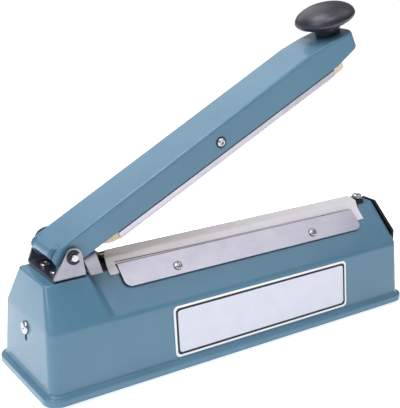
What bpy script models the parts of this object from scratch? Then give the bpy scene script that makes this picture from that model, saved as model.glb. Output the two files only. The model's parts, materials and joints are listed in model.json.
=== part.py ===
"""Hand impulse bag sealer, open: housing, hinged arm, pressure bar, heated platform, timer and switch.

Metres, +Z up. X runs along the machine with the hinge at -X, the front is -Y, and the sealer stands
on z = 0. Pieces are modelled in the frame of the empty called body, whose zero is the middle of the
housing's bottom edge, and the arm's pieces in the arm's own frame: X along the arm from the hinge pin.
"""

import math

import bpy
import bmesh
from mathutils import Matrix, Vector

# Housing: a drafted lower wall, a kink line, and roof slopes up to a narrow ridge
FLANGE_LENGTH = 0.320
FLANGE_WIDTH = 0.0917
LIP_HEIGHT = 0.0055
LIP_ROUND = 0.0016
LIP_REACH = 0.0042
CORNER_RADIUS = 0.0068
RIDGE_CORNER_RADIUS = 0.0038
WALL = 0.0018
KINK_HEIGHT = 0.0485
KINK_WIDTH = 0.0758
KINK_ROUND = 0.0026
RIDGE_HEIGHT = 0.0757
RIDGE_WIDTH = 0.0139
RIDGE_ROUND = 0.0012
LEFT_KINK_INSET = 0.0019
LEFT_RIDGE_INSET = 0.0074
RIGHT_RIDGE_INSET = 0.0010
PEDESTAL_WIDTH = 0.0446
CREASE_TOP_FROM_PIN = 0.0128
CREASE_FOOT_FROM_PIN = 0.0198
CREASE_WIDTH = 0.0080
CORNER_STEPS = 6
CREASE_STEPS = 5

# Clearances: between seated pieces, between thin layers, and round a screw or pin in its hole
SEAT = 0.0003
LAYER = 0.00015
HOLE_CLEARANCE = 0.0003
RUNNING_CLEARANCE = 0.00008
OVERRUN = 0.002

# Bottom cover, its four screws, and the rubber feet that the screws hold
COVER_THICKNESS = 0.0012
COVER_RECESS = 0.0010
COVER_CLEARANCE = 0.0004
FOOT_STAND = 0.0025
FOOT_RADIUS = 0.0065
FOOT_CHAMFER = 0.0008
FOOT_FLOOR = 0.0010
FOOT_INSET_X = 0.0190
FOOT_INSET_Y = 0.0098
COVER_SCREW_RADIUS = 0.0015
COVER_SCREW_HEAD_RADIUS = 0.0031
COVER_SCREW_HEAD = 0.0014
COVER_SCREW_LENGTH = 0.0120
BOSS_RADIUS = 0.0044
BOSS_TOP = 0.0160

# Hinge bracket, with two tapered ears, its screws, the pin and its clips
PIN_FROM_FLANGE_END = 0.0332
PIN_RISE = 0.0157
PIN_RADIUS = 0.00245
BRACKET_WIDTH = 0.0440
BRACKET_SHEET = 0.0018
BRACKET_BEND = 0.0026
BRACKET_FOOT_LEFT = 0.0146
BRACKET_FOOT_RIGHT = 0.0083
EAR_RADIUS = 0.0062
BACK_EAR_RADIUS = 0.0088
BRACKET_SCREW_LEFT = 0.0078
BRACKET_SCREW_SPREAD = 0.0082
CLIP_RADIUS = 0.0049
CLIP_THICKNESS = 0.0008
CLIP_BAND = 0.0024
GROOVE_DEPTH = 0.0006
GROOVE_SLACK = 0.0002
PIN_END = 0.0012
PIN_CHAMFER = 0.0004
CLIP_GAP_ANGLE = math.radians(38)

# Arm: an inverted channel, deeper towards the knob, with a sloping seat under the knob. Places at the
# knob's end are measured from the arm's tip, which stops short of the flange's end when it is level
OPEN_ANGLE = math.radians(26.4)
ARM_TAIL = 0.0120
ARM_SHORT_OF_FLANGE = 0.0133
ARM_WIDTH = 0.0365
ARM_SHEET = 0.0015
ARM_EDGE_RADIUS = 0.0035
ARM_TOP_AT_PIN = 0.0096
ARM_TOP_AT_SEAT = 0.0142
ARM_LOW = 0.0072
ARM_TAIL_LOW = 0.0027
ARM_TAIL_ROUND = 0.0040
ARM_TAIL_DROP = 0.0028
SEAT_EASE_FROM_TIP = 0.0445
SEAT_EASE_ANGLE = math.radians(4.6)
SEAT_FLAT_FROM_TIP = 0.0255
SEAT_ANGLE = math.radians(9.0)
NOSE_RADIUS = 0.0080
NOSE_LOW = 0.0030
NOSE_STEPS = 5

# Knob on the arm, and the screw that holds it from inside
KNOB_FROM_TIP = 0.0116
KNOB_RADIUS = 0.0230
KNOB_FOOT_RADIUS = 0.0095
KNOB_NECK_RADIUS = 0.0104
KNOB_NECK_HEIGHT = 0.0070
KNOB_RIM_HEIGHT = 0.0126
KNOB_HEIGHT = 0.0228
KNOB_SCREW_RADIUS = 0.0020
KNOB_SCREW_HEAD_RADIUS = 0.0042
KNOB_SCREW_HEAD = 0.0020
KNOB_SCREW_DEPTH = 0.0100

# Pressure bar, its lugs, the silicone strip it holds, and its pivot rivet across the arm
PIVOT_SHARE = 0.4856
PIVOT_ABOVE = 0.0007
BAR_START = 0.0385
BAR_END_FROM_TIP = 0.0230
BAR_WIDTH = 0.0160
BAR_SHEET = 0.0013
BAR_TOP = 0.0082
BAR_BOTTOM = 0.0177
LUG_WIDTH = 0.0120
LUG_RADIUS = 0.0052
STRIP_BOTTOM = 0.0196
RUBBER_START = 0.0255
RUBBER_END_FROM_TIP = 0.0135
RUBBER_CURL = 0.0050
RUBBER_TIP = 0.0030
PIVOT_RADIUS = 0.0020
PIVOT_HEAD_RADIUS = 0.0032
PIVOT_HEAD = 0.0016
BUSH_RADIUS = 0.0034

# Heated platform on the ridge, element ribbon, release cloth and the two clamp strips. Their left
# ends are measured from the hinge pin and their right ends from the flange's right end
PLATFORM_FROM_PIN = 0.0228
PLATFORM_FROM_END = 0.0157
PLATFORM_TOP_WIDTH = 0.0126
PLATFORM_FOOT_WIDTH = 0.0184
PLATFORM_RISE = 0.0040
END_BLOCK_FROM_END = 0.0240
END_BLOCK_DROP = 0.0008
RIBBON_WIDTH = 0.0024
RIBBON_THICKNESS = 0.00015
EYE_RADIUS = 0.0032
EYE_END = math.radians(15)
EYE_STEPS = 9
CLOTH_FROM_PIN = 0.0298
CLOTH_FROM_END = 0.0253
CLOTH_THICKNESS = 0.00025
CLOTH_HALF_SPAN = 0.0172
STRIP_FROM_PIN = 0.0372
STRIP_FROM_END = 0.0326
STRIP_UPPER_Y = 0.0096
STRIP_LOWER_Y = 0.0235
STRIP_SHEET = 0.0011
STRIP_CORNER = 0.0088
STRIP_SCREW_Y = 0.0184
STRIP_SCREW_SHARES = (0.2014, 0.7742)
STRIP_SCREW_RADIUS = 0.0015
STRIP_SCREW_HEAD_RADIUS = 0.0033
STRIP_SCREW_HEAD = 0.0018
STRIP_SCREW_LENGTH = 0.0065

# Terminals at the two ends of the element
POST_FROM_PIN = 0.0196
POST_RADIUS = 0.0024
POST_RISE = 0.0069
TAB_WIDTH = 0.0048
TAB_THICKNESS = 0.0005
TAB_END_FROM_PIN = 0.0270
TERMINAL_FROM_END = 0.0175
TERMINAL_SCREW_RADIUS = 0.0013
TERMINAL_HEAD_RADIUS = 0.0024
TERMINAL_HEAD = 0.0014
WASHER_RADIUS = 0.0037
WASHER_THICKNESS = 0.0006

# Spring guard, push rod and return spring
GUARD_LEFT_FROM_PIN = 0.0099
GUARD_RIGHT_FROM_PIN = 0.0205
GUARD_WIDTH = 0.0466
GUARD_SHEET = 0.0012
GUARD_RISE = 0.0128
GUARD_TOP_WIDTH = 0.0236
GUARD_BEND = 0.0020
GUARD_SCREW_Y = 0.0082
GUARD_SCREW_FROM_PIN = 0.0140
ROD_FROM_PIN = 0.0134
ROD_RADIUS = 0.0018
ROD_CAP_RADIUS = 0.0043
ROD_CAP_EDGE = 0.0014
ROD_DOME = 0.0084
ROD_COLLAR_RADIUS = 0.0030
ROD_COLLAR = 0.0012
SPRING_RADIUS = 0.0029
SPRING_WIRE = 0.0004
SPRING_TURNS = 9
SPRING_STEPS = 10

# Micro switch under the rod, on a bracket that the slotted end screw clamps
SWITCH_LENGTH = 0.0200
SWITCH_WIDTH = 0.0064
SWITCH_HEIGHT = 0.0100
SWITCH_BELOW_RIDGE = 0.0169
BUTTON_LENGTH = 0.0034
BUTTON_WIDTH = 0.0026
BUTTON_PROUD = 0.0009
BUTTON_DEPTH = 0.0022
BUTTON_TRAVEL = 0.0007
BUTTON_CLEARANCE = 0.00015
SWITCH_BRACKET_WIDTH = 0.0140
SWITCH_BRACKET_SHEET = 0.0012
SWITCH_BRACKET_SHARE = 0.6
END_SCREW_SHARE = 0.825
END_SCREW_RADIUS = 0.0017
END_SCREW_HEAD_RADIUS = 0.0047
END_SCREW_HEAD = 0.0023
END_SCREW_LENGTH = 0.0080
END_SLOT_LENGTH = 0.0135
END_SLOT_DROP = 0.0030
END_SLOT_WIDTH = 0.0038

# Timer panel on the right end, dial, potentiometer, lamp and circuit board
PANEL_THICKNESS = 0.0024
PANEL_HALF_WIDTH = 0.0300
PANEL_BOTTOM = 0.0130
PANEL_EDGE = 0.0006
PANEL_SCREW_Y = 0.0235
PANEL_SCREW_LOW = 0.0190
PANEL_SCREW_HEAD_RADIUS = 0.0028
DIAL_SHARE = 0.784
DIAL_RADIUS = 0.0105
DIAL_SKIRT = 0.0030
DIAL_GRIP_RADIUS = 0.0078
DIAL_DEPTH = 0.0130
DIAL_CHAMFER = 0.0008
DIAL_FLUTES = 12
FLUTE_DEPTH = 0.0007
DIAL_BORE_DEPTH = 0.0100
DIAL_STANDOFF = 0.0008
SHAFT_RADIUS = 0.0030
BUSHING_RADIUS = 0.0044
BUSHING_PROUD = 0.0008
POT_RADIUS = 0.0082
POT_DEPTH = 0.0095
BOARD_THICKNESS = 0.0016
BOARD_WIDTH = 0.0440
BOARD_HEIGHT = 0.0360
LAMP_SHARE = 0.423
LAMP_LENS_RADIUS = 0.0045
LAMP_BODY_RADIUS = 0.0036
LAMP_BODY_DEPTH = 0.0090
LAMP_PROUD = 0.0030

# Transformer on the bottom cover
CORE_FROM_END = 0.1000
CORE_LENGTH = 0.0480
CORE_HEIGHT = 0.0400
CORE_DEPTH = 0.0220
CORE_LIMB = 0.0160
CORE_YOKE = 0.0080
COIL_WALL = 0.0072
CORE_FOOT = 0.0090
CORE_FOOT_HEIGHT = 0.0030
CORE_SCREW_LENGTH = 0.0035

# Cord inlet in the rear wall
INLET_FROM_END = 0.0420
INLET_HEIGHT = 0.0240
INLET_HOLE_RADIUS = 0.0054
INLET_FLANGE_RADIUS = 0.0076
INLET_FLANGE = 0.0020
INLET_BORE_RADIUS = 0.0037

SIDES = 24
SMALL_SIDES = 16
SHARP_ANGLE = math.radians(32)
HEAD_ANGLES = [math.radians(a) for a in (28, 52, 72)]

# Worked out from the sizes above
HALF_LENGTH = FLANGE_LENGTH / 2
FOOT_HALF_LENGTH = HALF_LENGTH - LIP_REACH
FOOT_HALF_WIDTH = FLANGE_WIDTH / 2 - LIP_REACH
FOOT_HEIGHT = LIP_HEIGHT + LIP_REACH - LIP_ROUND
KINK_HALF = KINK_WIDTH / 2
RIDGE_HALF = RIDGE_WIDTH / 2
SLOPE = math.atan2(RIDGE_HEIGHT - KINK_HEIGHT, KINK_HALF - RIDGE_HALF)
DRAFT = math.atan2(FOOT_HALF_WIDTH - KINK_HALF, KINK_HEIGHT - FOOT_HEIGHT)
LEFT_KINK_X = -FOOT_HALF_LENGTH + LEFT_KINK_INSET
LEFT_RIDGE_X = -FOOT_HALF_LENGTH + LEFT_RIDGE_INSET
RIGHT_RIDGE_X = FOOT_HALF_LENGTH - RIGHT_RIDGE_INSET
END_LEAN = RIGHT_RIDGE_INSET / (RIDGE_HEIGHT - FOOT_HEIGHT)
RIGHT_KINK_X = FOOT_HALF_LENGTH - END_LEAN * (KINK_HEIGHT - FOOT_HEIGHT)
COVER_TOP = COVER_RECESS + COVER_THICKNESS
PIN_X = -HALF_LENGTH + PIN_FROM_FLANGE_END
PIN_HEIGHT = RIDGE_HEIGHT + PIN_RISE
CREASE_TOP_X = PIN_X + CREASE_TOP_FROM_PIN
CREASE_FOOT_X = PIN_X + CREASE_FOOT_FROM_PIN
BRACKET_BASE = RIDGE_HEIGHT + SEAT
ARM_LENGTH = HALF_LENGTH - ARM_SHORT_OF_FLANGE - PIN_X
SEAT_START = ARM_LENGTH - SEAT_EASE_FROM_TIP
SEAT_FLAT = ARM_LENGTH - SEAT_FLAT_FROM_TIP
KNOB_AT = ARM_LENGTH - KNOB_FROM_TIP
PIVOT_ALONG = PIVOT_SHARE * ARM_LENGTH
BAR_END = ARM_LENGTH - BAR_END_FROM_TIP
RUBBER_END = ARM_LENGTH - RUBBER_END_FROM_TIP
PLATFORM_LEFT_X = PIN_X + PLATFORM_FROM_PIN
PLATFORM_RIGHT_X = HALF_LENGTH - PLATFORM_FROM_END
END_BLOCK_X = HALF_LENGTH - END_BLOCK_FROM_END
CLOTH_LEFT_X = PIN_X + CLOTH_FROM_PIN
CLOTH_RIGHT_X = HALF_LENGTH - CLOTH_FROM_END
STRIP_LEFT_X = PIN_X + STRIP_FROM_PIN
STRIP_RIGHT_X = HALF_LENGTH - STRIP_FROM_END
PLATFORM_TOP = RIDGE_HEIGHT + PLATFORM_RISE
RIBBON_TOP = PLATFORM_TOP + LAYER + RIBBON_THICKNESS
CLOTH_TOP = RIBBON_TOP + LAYER + CLOTH_THICKNESS
POST_X = PIN_X + POST_FROM_PIN
POST_TOP = RIDGE_HEIGHT + POST_RISE
TAB_RIGHT_X = PIN_X + TAB_END_FROM_PIN
TERMINAL_X = HALF_LENGTH - TERMINAL_FROM_END
GUARD_LEFT_X = PIN_X + GUARD_LEFT_FROM_PIN
GUARD_RIGHT_X = PIN_X + GUARD_RIGHT_FROM_PIN
GUARD_TOP = RIDGE_HEIGHT + GUARD_RISE
GUARD_SCREW_X = PIN_X + GUARD_SCREW_FROM_PIN
ROD_X = PIN_X + ROD_FROM_PIN
SWITCH_TOP = RIDGE_HEIGHT - SWITCH_BELOW_RIDGE
SWITCH_BRACKET_LOW = SWITCH_BRACKET_SHARE * KINK_HEIGHT
END_SCREW_HEIGHT = END_SCREW_SHARE * KINK_HEIGHT
END_SLOT_HEIGHT = END_SCREW_HEIGHT - END_SLOT_DROP
DIAL_HEIGHT = DIAL_SHARE * KINK_HEIGHT
LAMP_HEIGHT = KINK_HEIGHT + LAMP_SHARE * (RIDGE_HEIGHT - KINK_HEIGHT)
CORE_X = HALF_LENGTH - CORE_FROM_END
INLET_X = HALF_LENGTH - INLET_FROM_END
PANEL_BACK_GAP = SEAT
DIAL_FACE_X = FOOT_HALF_LENGTH + PANEL_BACK_GAP + PANEL_THICKNESS + DIAL_STANDOFF + DIAL_DEPTH
BODY_SHIFT = (HALF_LENGTH - DIAL_FACE_X) / 2


def clear_scene():
    for piece in list(bpy.data.objects):
        bpy.data.objects.remove(piece, do_unlink=True)


def make_finish(name, colour, roughness, metallic=0.0):
    finish = bpy.data.materials.new(name)
    finish.use_nodes = True
    shader = finish.node_tree.nodes["Principled BSDF"]
    shader.inputs["Base Color"].default_value = (*colour, 1.0)
    shader.inputs["Roughness"].default_value = roughness
    shader.inputs["Metallic"].default_value = metallic
    finish.diffuse_color = (*colour, 1.0)
    return finish


def make_empty(name, parent=None, place=(0, 0, 0), turn_y=0.0):
    empty = bpy.data.objects.new(name, None)
    bpy.context.scene.collection.objects.link(empty)
    empty.parent = parent
    empty.location = place
    empty.rotation_euler = (0, turn_y, 0)
    return empty


def add_piece(name, points, faces, finish, parent):
    """One closed mesh, faces out, as an object in its parent's frame."""
    mesh = bpy.data.meshes.new(name)
    mesh.from_pydata([tuple(point) for point in points], [], faces)
    work = bmesh.new()
    work.from_mesh(mesh)
    bmesh.ops.recalc_face_normals(work, faces=work.faces)
    work.to_mesh(mesh)
    work.free()
    mesh.materials.append(finish)
    mesh.shade_smooth()
    mesh.set_sharp_from_angle(angle=SHARP_ANGLE)
    piece = bpy.data.objects.new(name, mesh)
    bpy.context.scene.collection.objects.link(piece)
    piece.parent = parent
    return piece


def ring_faces(count, size, wrap=False):
    """Quads between rings of one size, then two end caps, or a last band back to the first ring."""
    faces = []
    for level in range(count if wrap else count - 1):
        low, high = level * size, (level + 1) % count * size
        for i in range(size):
            j = (i + 1) % size
            faces.append((low + i, low + j, high + j, high + i))
    if not wrap:
        faces.append(tuple(range(size - 1, -1, -1)))
        faces.append(tuple(range((count - 1) * size, count * size)))
    return faces


def loft(name, rings, finish, parent, wrap=False):
    points = [point for ring in rings for point in ring]
    return add_piece(name, points, ring_faces(len(rings), len(rings[0]), wrap), finish, parent)


def circle(radius, height, sides):
    angles = [2 * math.pi * i / sides for i in range(sides)]
    return [(radius * math.cos(a), radius * math.sin(a), height) for a in angles]


def aim(piece, place, direction):
    """Puts a piece that was made about local Z at a place, with local Z along a direction."""
    turn = Vector((0, 0, 1)).rotation_difference(Vector(direction))
    piece.matrix_local = Matrix.Translation(Vector(place)) @ turn.to_matrix().to_4x4()
    return piece


def turned(name, profile, finish, parent, place, direction=(0, 0, 1), sides=SIDES, bored=False):
    """A turned solid from (radius, height) pairs; a bored one's profile closes on itself."""
    rings = [circle(radius, height, sides) for radius, height in profile]
    return aim(loft(name, rings, finish, parent, wrap=bored), place, direction)


def prism(name, outline, low, high, place_at, finish, parent):
    """An outline of (a, b) pairs drawn out from low to high; place_at gives each point's x, y, z."""
    rings = [[place_at(a, b, level) for a, b in outline] for level in (low, high)]
    return loft(name, rings, finish, parent)


def along_x(a, b, level):
    return (level, a, b)


def along_y(a, b, level):
    return (a, level, b)


def along_z(a, b, level):
    return (a, b, level)


def boolean(target, tool, operation):
    tool.hide_render = True
    tool.display_type = "WIRE"
    modifier = target.modifiers.new(tool.name, "BOOLEAN")
    modifier.operation = operation
    modifier.object = tool


def cut(target, tool):
    boolean(target, tool, "DIFFERENCE")


def drill(target, name, radius, start, direction, depth, sides=SMALL_SIDES):
    """A round hole that starts one overrun before its start point."""
    profile = [(radius, -OVERRUN), (radius, depth)]
    cut(target, turned(name, profile, STEEL, target.parent, start, direction, sides))


def arc(centre, radius, start, end, steps):
    angles = [start + (end - start) * i / steps for i in range(steps + 1)]
    return [(centre[0] + radius * math.cos(a), centre[1] + radius * math.sin(a)) for a in angles]


def round_path(path, radius, steps=4):
    """The same path with each inner corner turned into an arc."""
    rounded = [path[0]]
    for before, corner, after in zip(path, path[1:], path[2:]):
        corner = Vector(corner)
        first = (Vector(before) - corner).normalized()
        last = (Vector(after) - corner).normalized()
        half = first.angle(last) / 2
        centre = corner + (first + last).normalized() * radius / math.sin(half)
        reach = radius / math.tan(half)
        start = corner + first * reach - centre
        end = corner + last * reach - centre
        for i in range(steps + 1):
            spoke = start.lerp(end, i / steps).normalized() * radius
            rounded.append(tuple(centre + spoke))
    return rounded + [path[-1]]


def offset_path(path, distance):
    """A path moved to its left by a distance, with mitred corners."""
    points = [Vector(point) for point in path]
    sides = []
    for here, there in zip(points, points[1:]):
        along = (there - here).normalized()
        sides.append(Vector((-along.y, along.x)))
    moved = [points[0] + sides[0] * distance]
    for corner, before, after in zip(points[1:], sides, sides[1:]):
        middle = (before + after).normalized()
        moved.append(corner + middle * distance / middle.dot(before))
    return [tuple(point) for point in moved + [points[-1] + sides[-1] * distance]]


def band(path, thickness):
    """The outline of sheet that lies on the left of a path."""
    return offset_path(path, thickness) + path[::-1]


def pan_head(radius, height):
    """Profile of a domed screw head that stands on z = 0, without its first, flat ring."""
    rise = [(radius * math.cos(a), height * math.sin(a)) for a in HEAD_ANGLES]
    return [(radius, 0)] + rise


def screw(name, shank, length, head_radius, head, finish, parent, place, outward):
    """A pan-head screw whose head stands on a face at place and whose shank goes into it."""
    profile = [(shank, -length), (shank, 0)] + pan_head(head_radius, head)
    return turned(name, profile, finish, parent, place, outward, SMALL_SIDES)


def clip_outline(inner, outer, gap):
    """A C in its own plane, open along +X."""
    outside = arc((0, 0), outer, gap, 2 * math.pi - gap, SIDES)
    inside = arc((0, 0), inner, 2 * math.pi - gap, gap, SIDES)
    return outside + inside


def rounded_box(half_x, half_y, radius, steps=CORNER_STEPS):
    """Outline of a rectangle with round corners, about zero."""
    outline = []
    for quarter, (sx, sy) in enumerate(((1, 1), (-1, 1), (-1, -1), (1, -1))):
        centre = (sx * (half_x - radius), sy * (half_y - radius))
        start = quarter * math.pi / 2
        outline += arc(centre, radius, start, start + math.pi / 2, steps)
    return outline


def roof_height(y):
    """Height of the main roof slope, or of its ridge, at a distance from the centre plane."""
    return RIDGE_HEIGHT - max(0.0, abs(y) - RIDGE_HALF) * math.tan(SLOPE)


def on_roof(x, y, out, side):
    """A point over the roof slope: y is measured from the centre plane on the slope itself."""
    return (x, side * (y + out * math.sin(SLOPE)), roof_height(y) + out * math.cos(SLOPE))


def housing_ring(height, left, right, half, pedestal_half, radius, crease):
    """One level of the housing, from the left-front corner round by the right and the back."""
    front = [(left + radius - radius * math.cos(a), pedestal_half - radius + radius * math.sin(a))
             for a in quarter_steps()]
    for i in range(CREASE_STEPS):
        share = i / (CREASE_STEPS - 1)
        smooth = share * share * (3 - 2 * share)
        x = crease + CREASE_WIDTH * (share - 1 / 2)
        front.append((x, pedestal_half + (half - pedestal_half) * smooth))
    front += [(right - radius + radius * math.sin(a), half - radius + radius * math.cos(a))
              for a in quarter_steps()]
    return ([(x, -y, height) for x, y in front]
            + [(x, y, height) for x, y in reversed(front)])


def quarter_steps():
    return [math.pi / 2 * i / CORNER_STEPS for i in range(CORNER_STEPS + 1)]


def housing_levels(inset):
    """Rings at the wall's foot, the kink and the ridge, moved in by the wall's thickness or not."""
    walls = [(FOOT_HALF_WIDTH, FOOT_HEIGHT), (KINK_HALF, KINK_HEIGHT),
             (RIDGE_HALF, RIDGE_HEIGHT), (0.0, RIDGE_HEIGHT)]
    (foot, _), (kink, kink_height), (ridge, ridge_height), _ = offset_path(walls, inset)
    foot_ring = housing_ring(FOOT_HEIGHT, inset - FOOT_HALF_LENGTH, FOOT_HALF_LENGTH - inset,
                             foot, foot, CORNER_RADIUS - inset, CREASE_FOOT_X)
    kink_ring = housing_ring(kink_height, LEFT_KINK_X + inset, RIGHT_KINK_X - inset,
                             kink, kink, CORNER_RADIUS - inset, CREASE_FOOT_X)
    ridge_ring = housing_ring(ridge_height, LEFT_RIDGE_X + inset, RIGHT_RIDGE_X - inset,
                              ridge, PEDESTAL_WIDTH / 2 - inset,
                              RIDGE_CORNER_RADIUS - inset, CREASE_TOP_X)
    return foot_ring, kink_ring, ridge_ring


def bend_rings(before, corner, after, reach, steps=4):
    """Rings of a soft edge: each point follows a quadratic curve that starts and ends at reach."""
    rings = []
    for i in range(steps + 1):
        t = i / steps
        ring = []
        for a, b, c in zip(before, corner, after):
            b = Vector(b)
            start = b + (Vector(a) - b).normalized() * reach
            end = b + (Vector(c) - b).normalized() * reach
            ring.append(start.lerp(b, t).lerp(b.lerp(end, t), t))
        rings.append(ring)
    return rings


def lip_profile():
    """The lip as (reach past the wall's foot, height): a bead, then a cove up to the wall."""
    cove = LIP_REACH - LIP_ROUND
    bead = arc((cove, LIP_HEIGHT - LIP_ROUND), LIP_ROUND, 0, math.pi / 2, 3)
    sweep = arc((cove, LIP_HEIGHT + cove), cove, -math.pi / 2, -math.pi, 4)
    return [(LIP_REACH, 0)] + bead + sweep[1:-1]


def make_housing(body):
    foot, kink, ridge = housing_levels(0)
    rings = []
    for reach, height in lip_profile():
        rings.append(housing_ring(height, -FOOT_HALF_LENGTH - reach, FOOT_HALF_LENGTH + reach,
                                  FOOT_HALF_WIDTH + reach, FOOT_HALF_WIDTH + reach,
                                  CORNER_RADIUS + reach, CREASE_FOOT_X))
    rings.append(foot)
    rings += bend_rings(foot, kink, ridge, KINK_ROUND)
    inset = RIDGE_CORNER_RADIUS / 2
    inner_ridge = housing_ring(RIDGE_HEIGHT, LEFT_RIDGE_X + inset, RIGHT_RIDGE_X - inset,
                               RIDGE_HALF - inset, PEDESTAL_WIDTH / 2 - inset,
                               RIDGE_CORNER_RADIUS - inset, CREASE_TOP_X)
    rings += bend_rings(kink, ridge, inner_ridge, RIDGE_ROUND, 3)
    housing = loft("housing", rings, BLUE, body)

    foot, kink, ridge = housing_levels(WALL)
    mouth = [(x, y, -OVERRUN) for x, y, _ in foot]
    cut(housing, loft("housing_hollow", [mouth, foot, kink, ridge], BLUE, body))
    add_bosses(housing, body)
    cut_housing_holes(housing, body)
    return housing


def foot_places():
    x = FOOT_HALF_LENGTH - FOOT_INSET_X
    y = FOOT_HALF_WIDTH - FOOT_INSET_Y
    return [(sx * x, sy * y) for sx in (-1, 1) for sy in (-1, 1)]


def add_bosses(housing, body):
    """Screw bosses, each with a web that runs into the side wall."""
    reach = FOOT_HALF_WIDTH - (BOSS_TOP - FOOT_HEIGHT) * math.tan(DRAFT) - WALL / 3
    for number, (x, y) in enumerate(foot_places(), 1):
        side = math.copysign(1, y)
        turn = [math.pi * i / SMALL_SIDES for i in range(SMALL_SIDES + 1)]
        outline = [(x + BOSS_RADIUS * math.cos(a), y - side * BOSS_RADIUS * math.sin(a))
                   for a in turn]
        outline += [(x - BOSS_RADIUS, side * reach), (x + BOSS_RADIUS, side * reach)]
        name = f"boss_{number}"
        boss = prism(name, outline, COVER_TOP + SEAT, BOSS_TOP, along_z, BLUE, body)
        boolean(housing, boss, "UNION")
        drill(housing, f"{name}_hole", COVER_SCREW_RADIUS + HOLE_CLEARANCE,
              (x, y, COVER_TOP), (0, 0, 1), COVER_SCREW_LENGTH - COVER_THICKNESS)


def strip_screw_places():
    length = STRIP_RIGHT_X - STRIP_LEFT_X
    places = [STRIP_LEFT_X + share * length for share in STRIP_SCREW_SHARES]
    return [(x, side) for side in (-1, 1) for x in places]


def cut_housing_holes(housing, body):
    roof = RIDGE_HEIGHT
    through = WALL + OVERRUN
    for number, (x, y) in enumerate(bracket_screw_places(), 1):
        drill(housing, f"roof_hole_{number}", STRIP_SCREW_RADIUS + HOLE_CLEARANCE,
              (x, y, roof), (0, 0, -1), through)
    for number, (x, y) in enumerate(guard_screw_places(), 1):
        drill(housing, f"guard_hole_{number}", STRIP_SCREW_RADIUS + HOLE_CLEARANCE,
              (x, y, roof), (0, 0, -1), through)
    drill(housing, "rod_hole", ROD_RADIUS + HOLE_CLEARANCE, (ROD_X, 0, roof), (0, 0, -1), through)
    for number, (x, side) in enumerate(strip_screw_places(), 1):
        into = (0, -side * math.sin(SLOPE), -math.cos(SLOPE))
        drill(housing, f"strip_hole_{number}", STRIP_SCREW_RADIUS + HOLE_CLEARANCE,
              on_roof(x, STRIP_SCREW_Y, 0, side), into, through)
    slot = rounded_box(END_SLOT_WIDTH / 2, END_SLOT_LENGTH / 2, END_SLOT_WIDTH / 2 - LAYER)
    slot = [(a, b + END_SLOT_HEIGHT) for a, b in slot]
    tool = prism("end_slot", slot, -HALF_LENGTH, LEFT_KINK_X + WALL + OVERRUN, along_x, BLUE, body)
    cut(housing, tool)
    wall_x = FOOT_HALF_LENGTH
    deep = WALL + RIGHT_RIDGE_INSET + OVERRUN
    drill(housing, "bushing_hole", BUSHING_RADIUS + HOLE_CLEARANCE,
          (wall_x, 0, DIAL_HEIGHT), (-1, 0, 0), deep)
    drill(housing, "lamp_hole", LAMP_BODY_RADIUS + HOLE_CLEARANCE,
          (wall_x, 0, LAMP_HEIGHT), (-1, 0, 0), deep)
    for number, (y, z) in enumerate(panel_screw_places(), 1):
        drill(housing, f"panel_hole_{number}", STRIP_SCREW_RADIUS + HOLE_CLEARANCE,
              (wall_x, y, z), (-1, 0, 0), deep)
    drill(housing, "inlet_hole", INLET_HOLE_RADIUS, inlet_place(), inlet_inward(), through, SIDES)


def make_cover(body):
    half_x = FOOT_HALF_LENGTH - WALL - COVER_CLEARANCE
    half_y = FOOT_HALF_WIDTH - WALL - COVER_CLEARANCE
    outline = rounded_box(half_x, half_y, CORNER_RADIUS - WALL)
    cover = prism("bottom_cover", outline, COVER_RECESS, COVER_TOP, along_z, ZINC, body)
    for number, (x, y) in enumerate(foot_places(), 1):
        drill(cover, f"cover_hole_{number}", COVER_SCREW_RADIUS + HOLE_CLEARANCE,
              (x, y, COVER_RECESS), (0, 0, 1), COVER_THICKNESS + OVERRUN)
    for number, x in enumerate(core_screw_places(), 1):
        drill(cover, f"core_foot_hole_{number}", COVER_SCREW_RADIUS + HOLE_CLEARANCE,
              (x, 0, COVER_RECESS), (0, 0, 1), COVER_THICKNESS + OVERRUN)


def make_feet(body):
    """Each foot is a rubber cup with its screw's head sunk in it."""
    top = COVER_RECESS - SEAT
    bore = COVER_SCREW_RADIUS + HOLE_CLEARANCE
    well = COVER_SCREW_HEAD_RADIUS + SEAT
    low = -FOOT_STAND
    profile = [(bore, top), (FOOT_RADIUS - FOOT_CHAMFER, top), (FOOT_RADIUS, top - FOOT_CHAMFER),
               (FOOT_RADIUS - FOOT_CHAMFER, low), (well, low), (well, top - FOOT_FLOOR),
               (bore, top - FOOT_FLOOR)]
    for number, (x, y) in enumerate(foot_places(), 1):
        turned(f"foot_{number}", profile, RUBBER, body, (x, y, 0), bored=True)
        screw(f"cover_screw_{number}", COVER_SCREW_RADIUS, COVER_SCREW_LENGTH - FOOT_FLOOR,
              COVER_SCREW_HEAD_RADIUS, COVER_SCREW_HEAD, STEEL, body,
              (x, y, top - FOOT_FLOOR - SEAT), (0, 0, -1))


def bracket_screw_places():
    x = PIN_X - BRACKET_SCREW_LEFT
    return [(x, -BRACKET_SCREW_SPREAD), (x, BRACKET_SCREW_SPREAD)]


def guard_screw_places():
    return [(GUARD_SCREW_X, -GUARD_SCREW_Y), (GUARD_SCREW_X, GUARD_SCREW_Y)]


def tangent_angle(point, centre, radius, side):
    """Direction from a circle's centre to where a line from the point touches it."""
    away = Vector(point) - Vector(centre)
    return math.atan2(away.y, away.x) + side * math.acos(radius / away.length)


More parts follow.
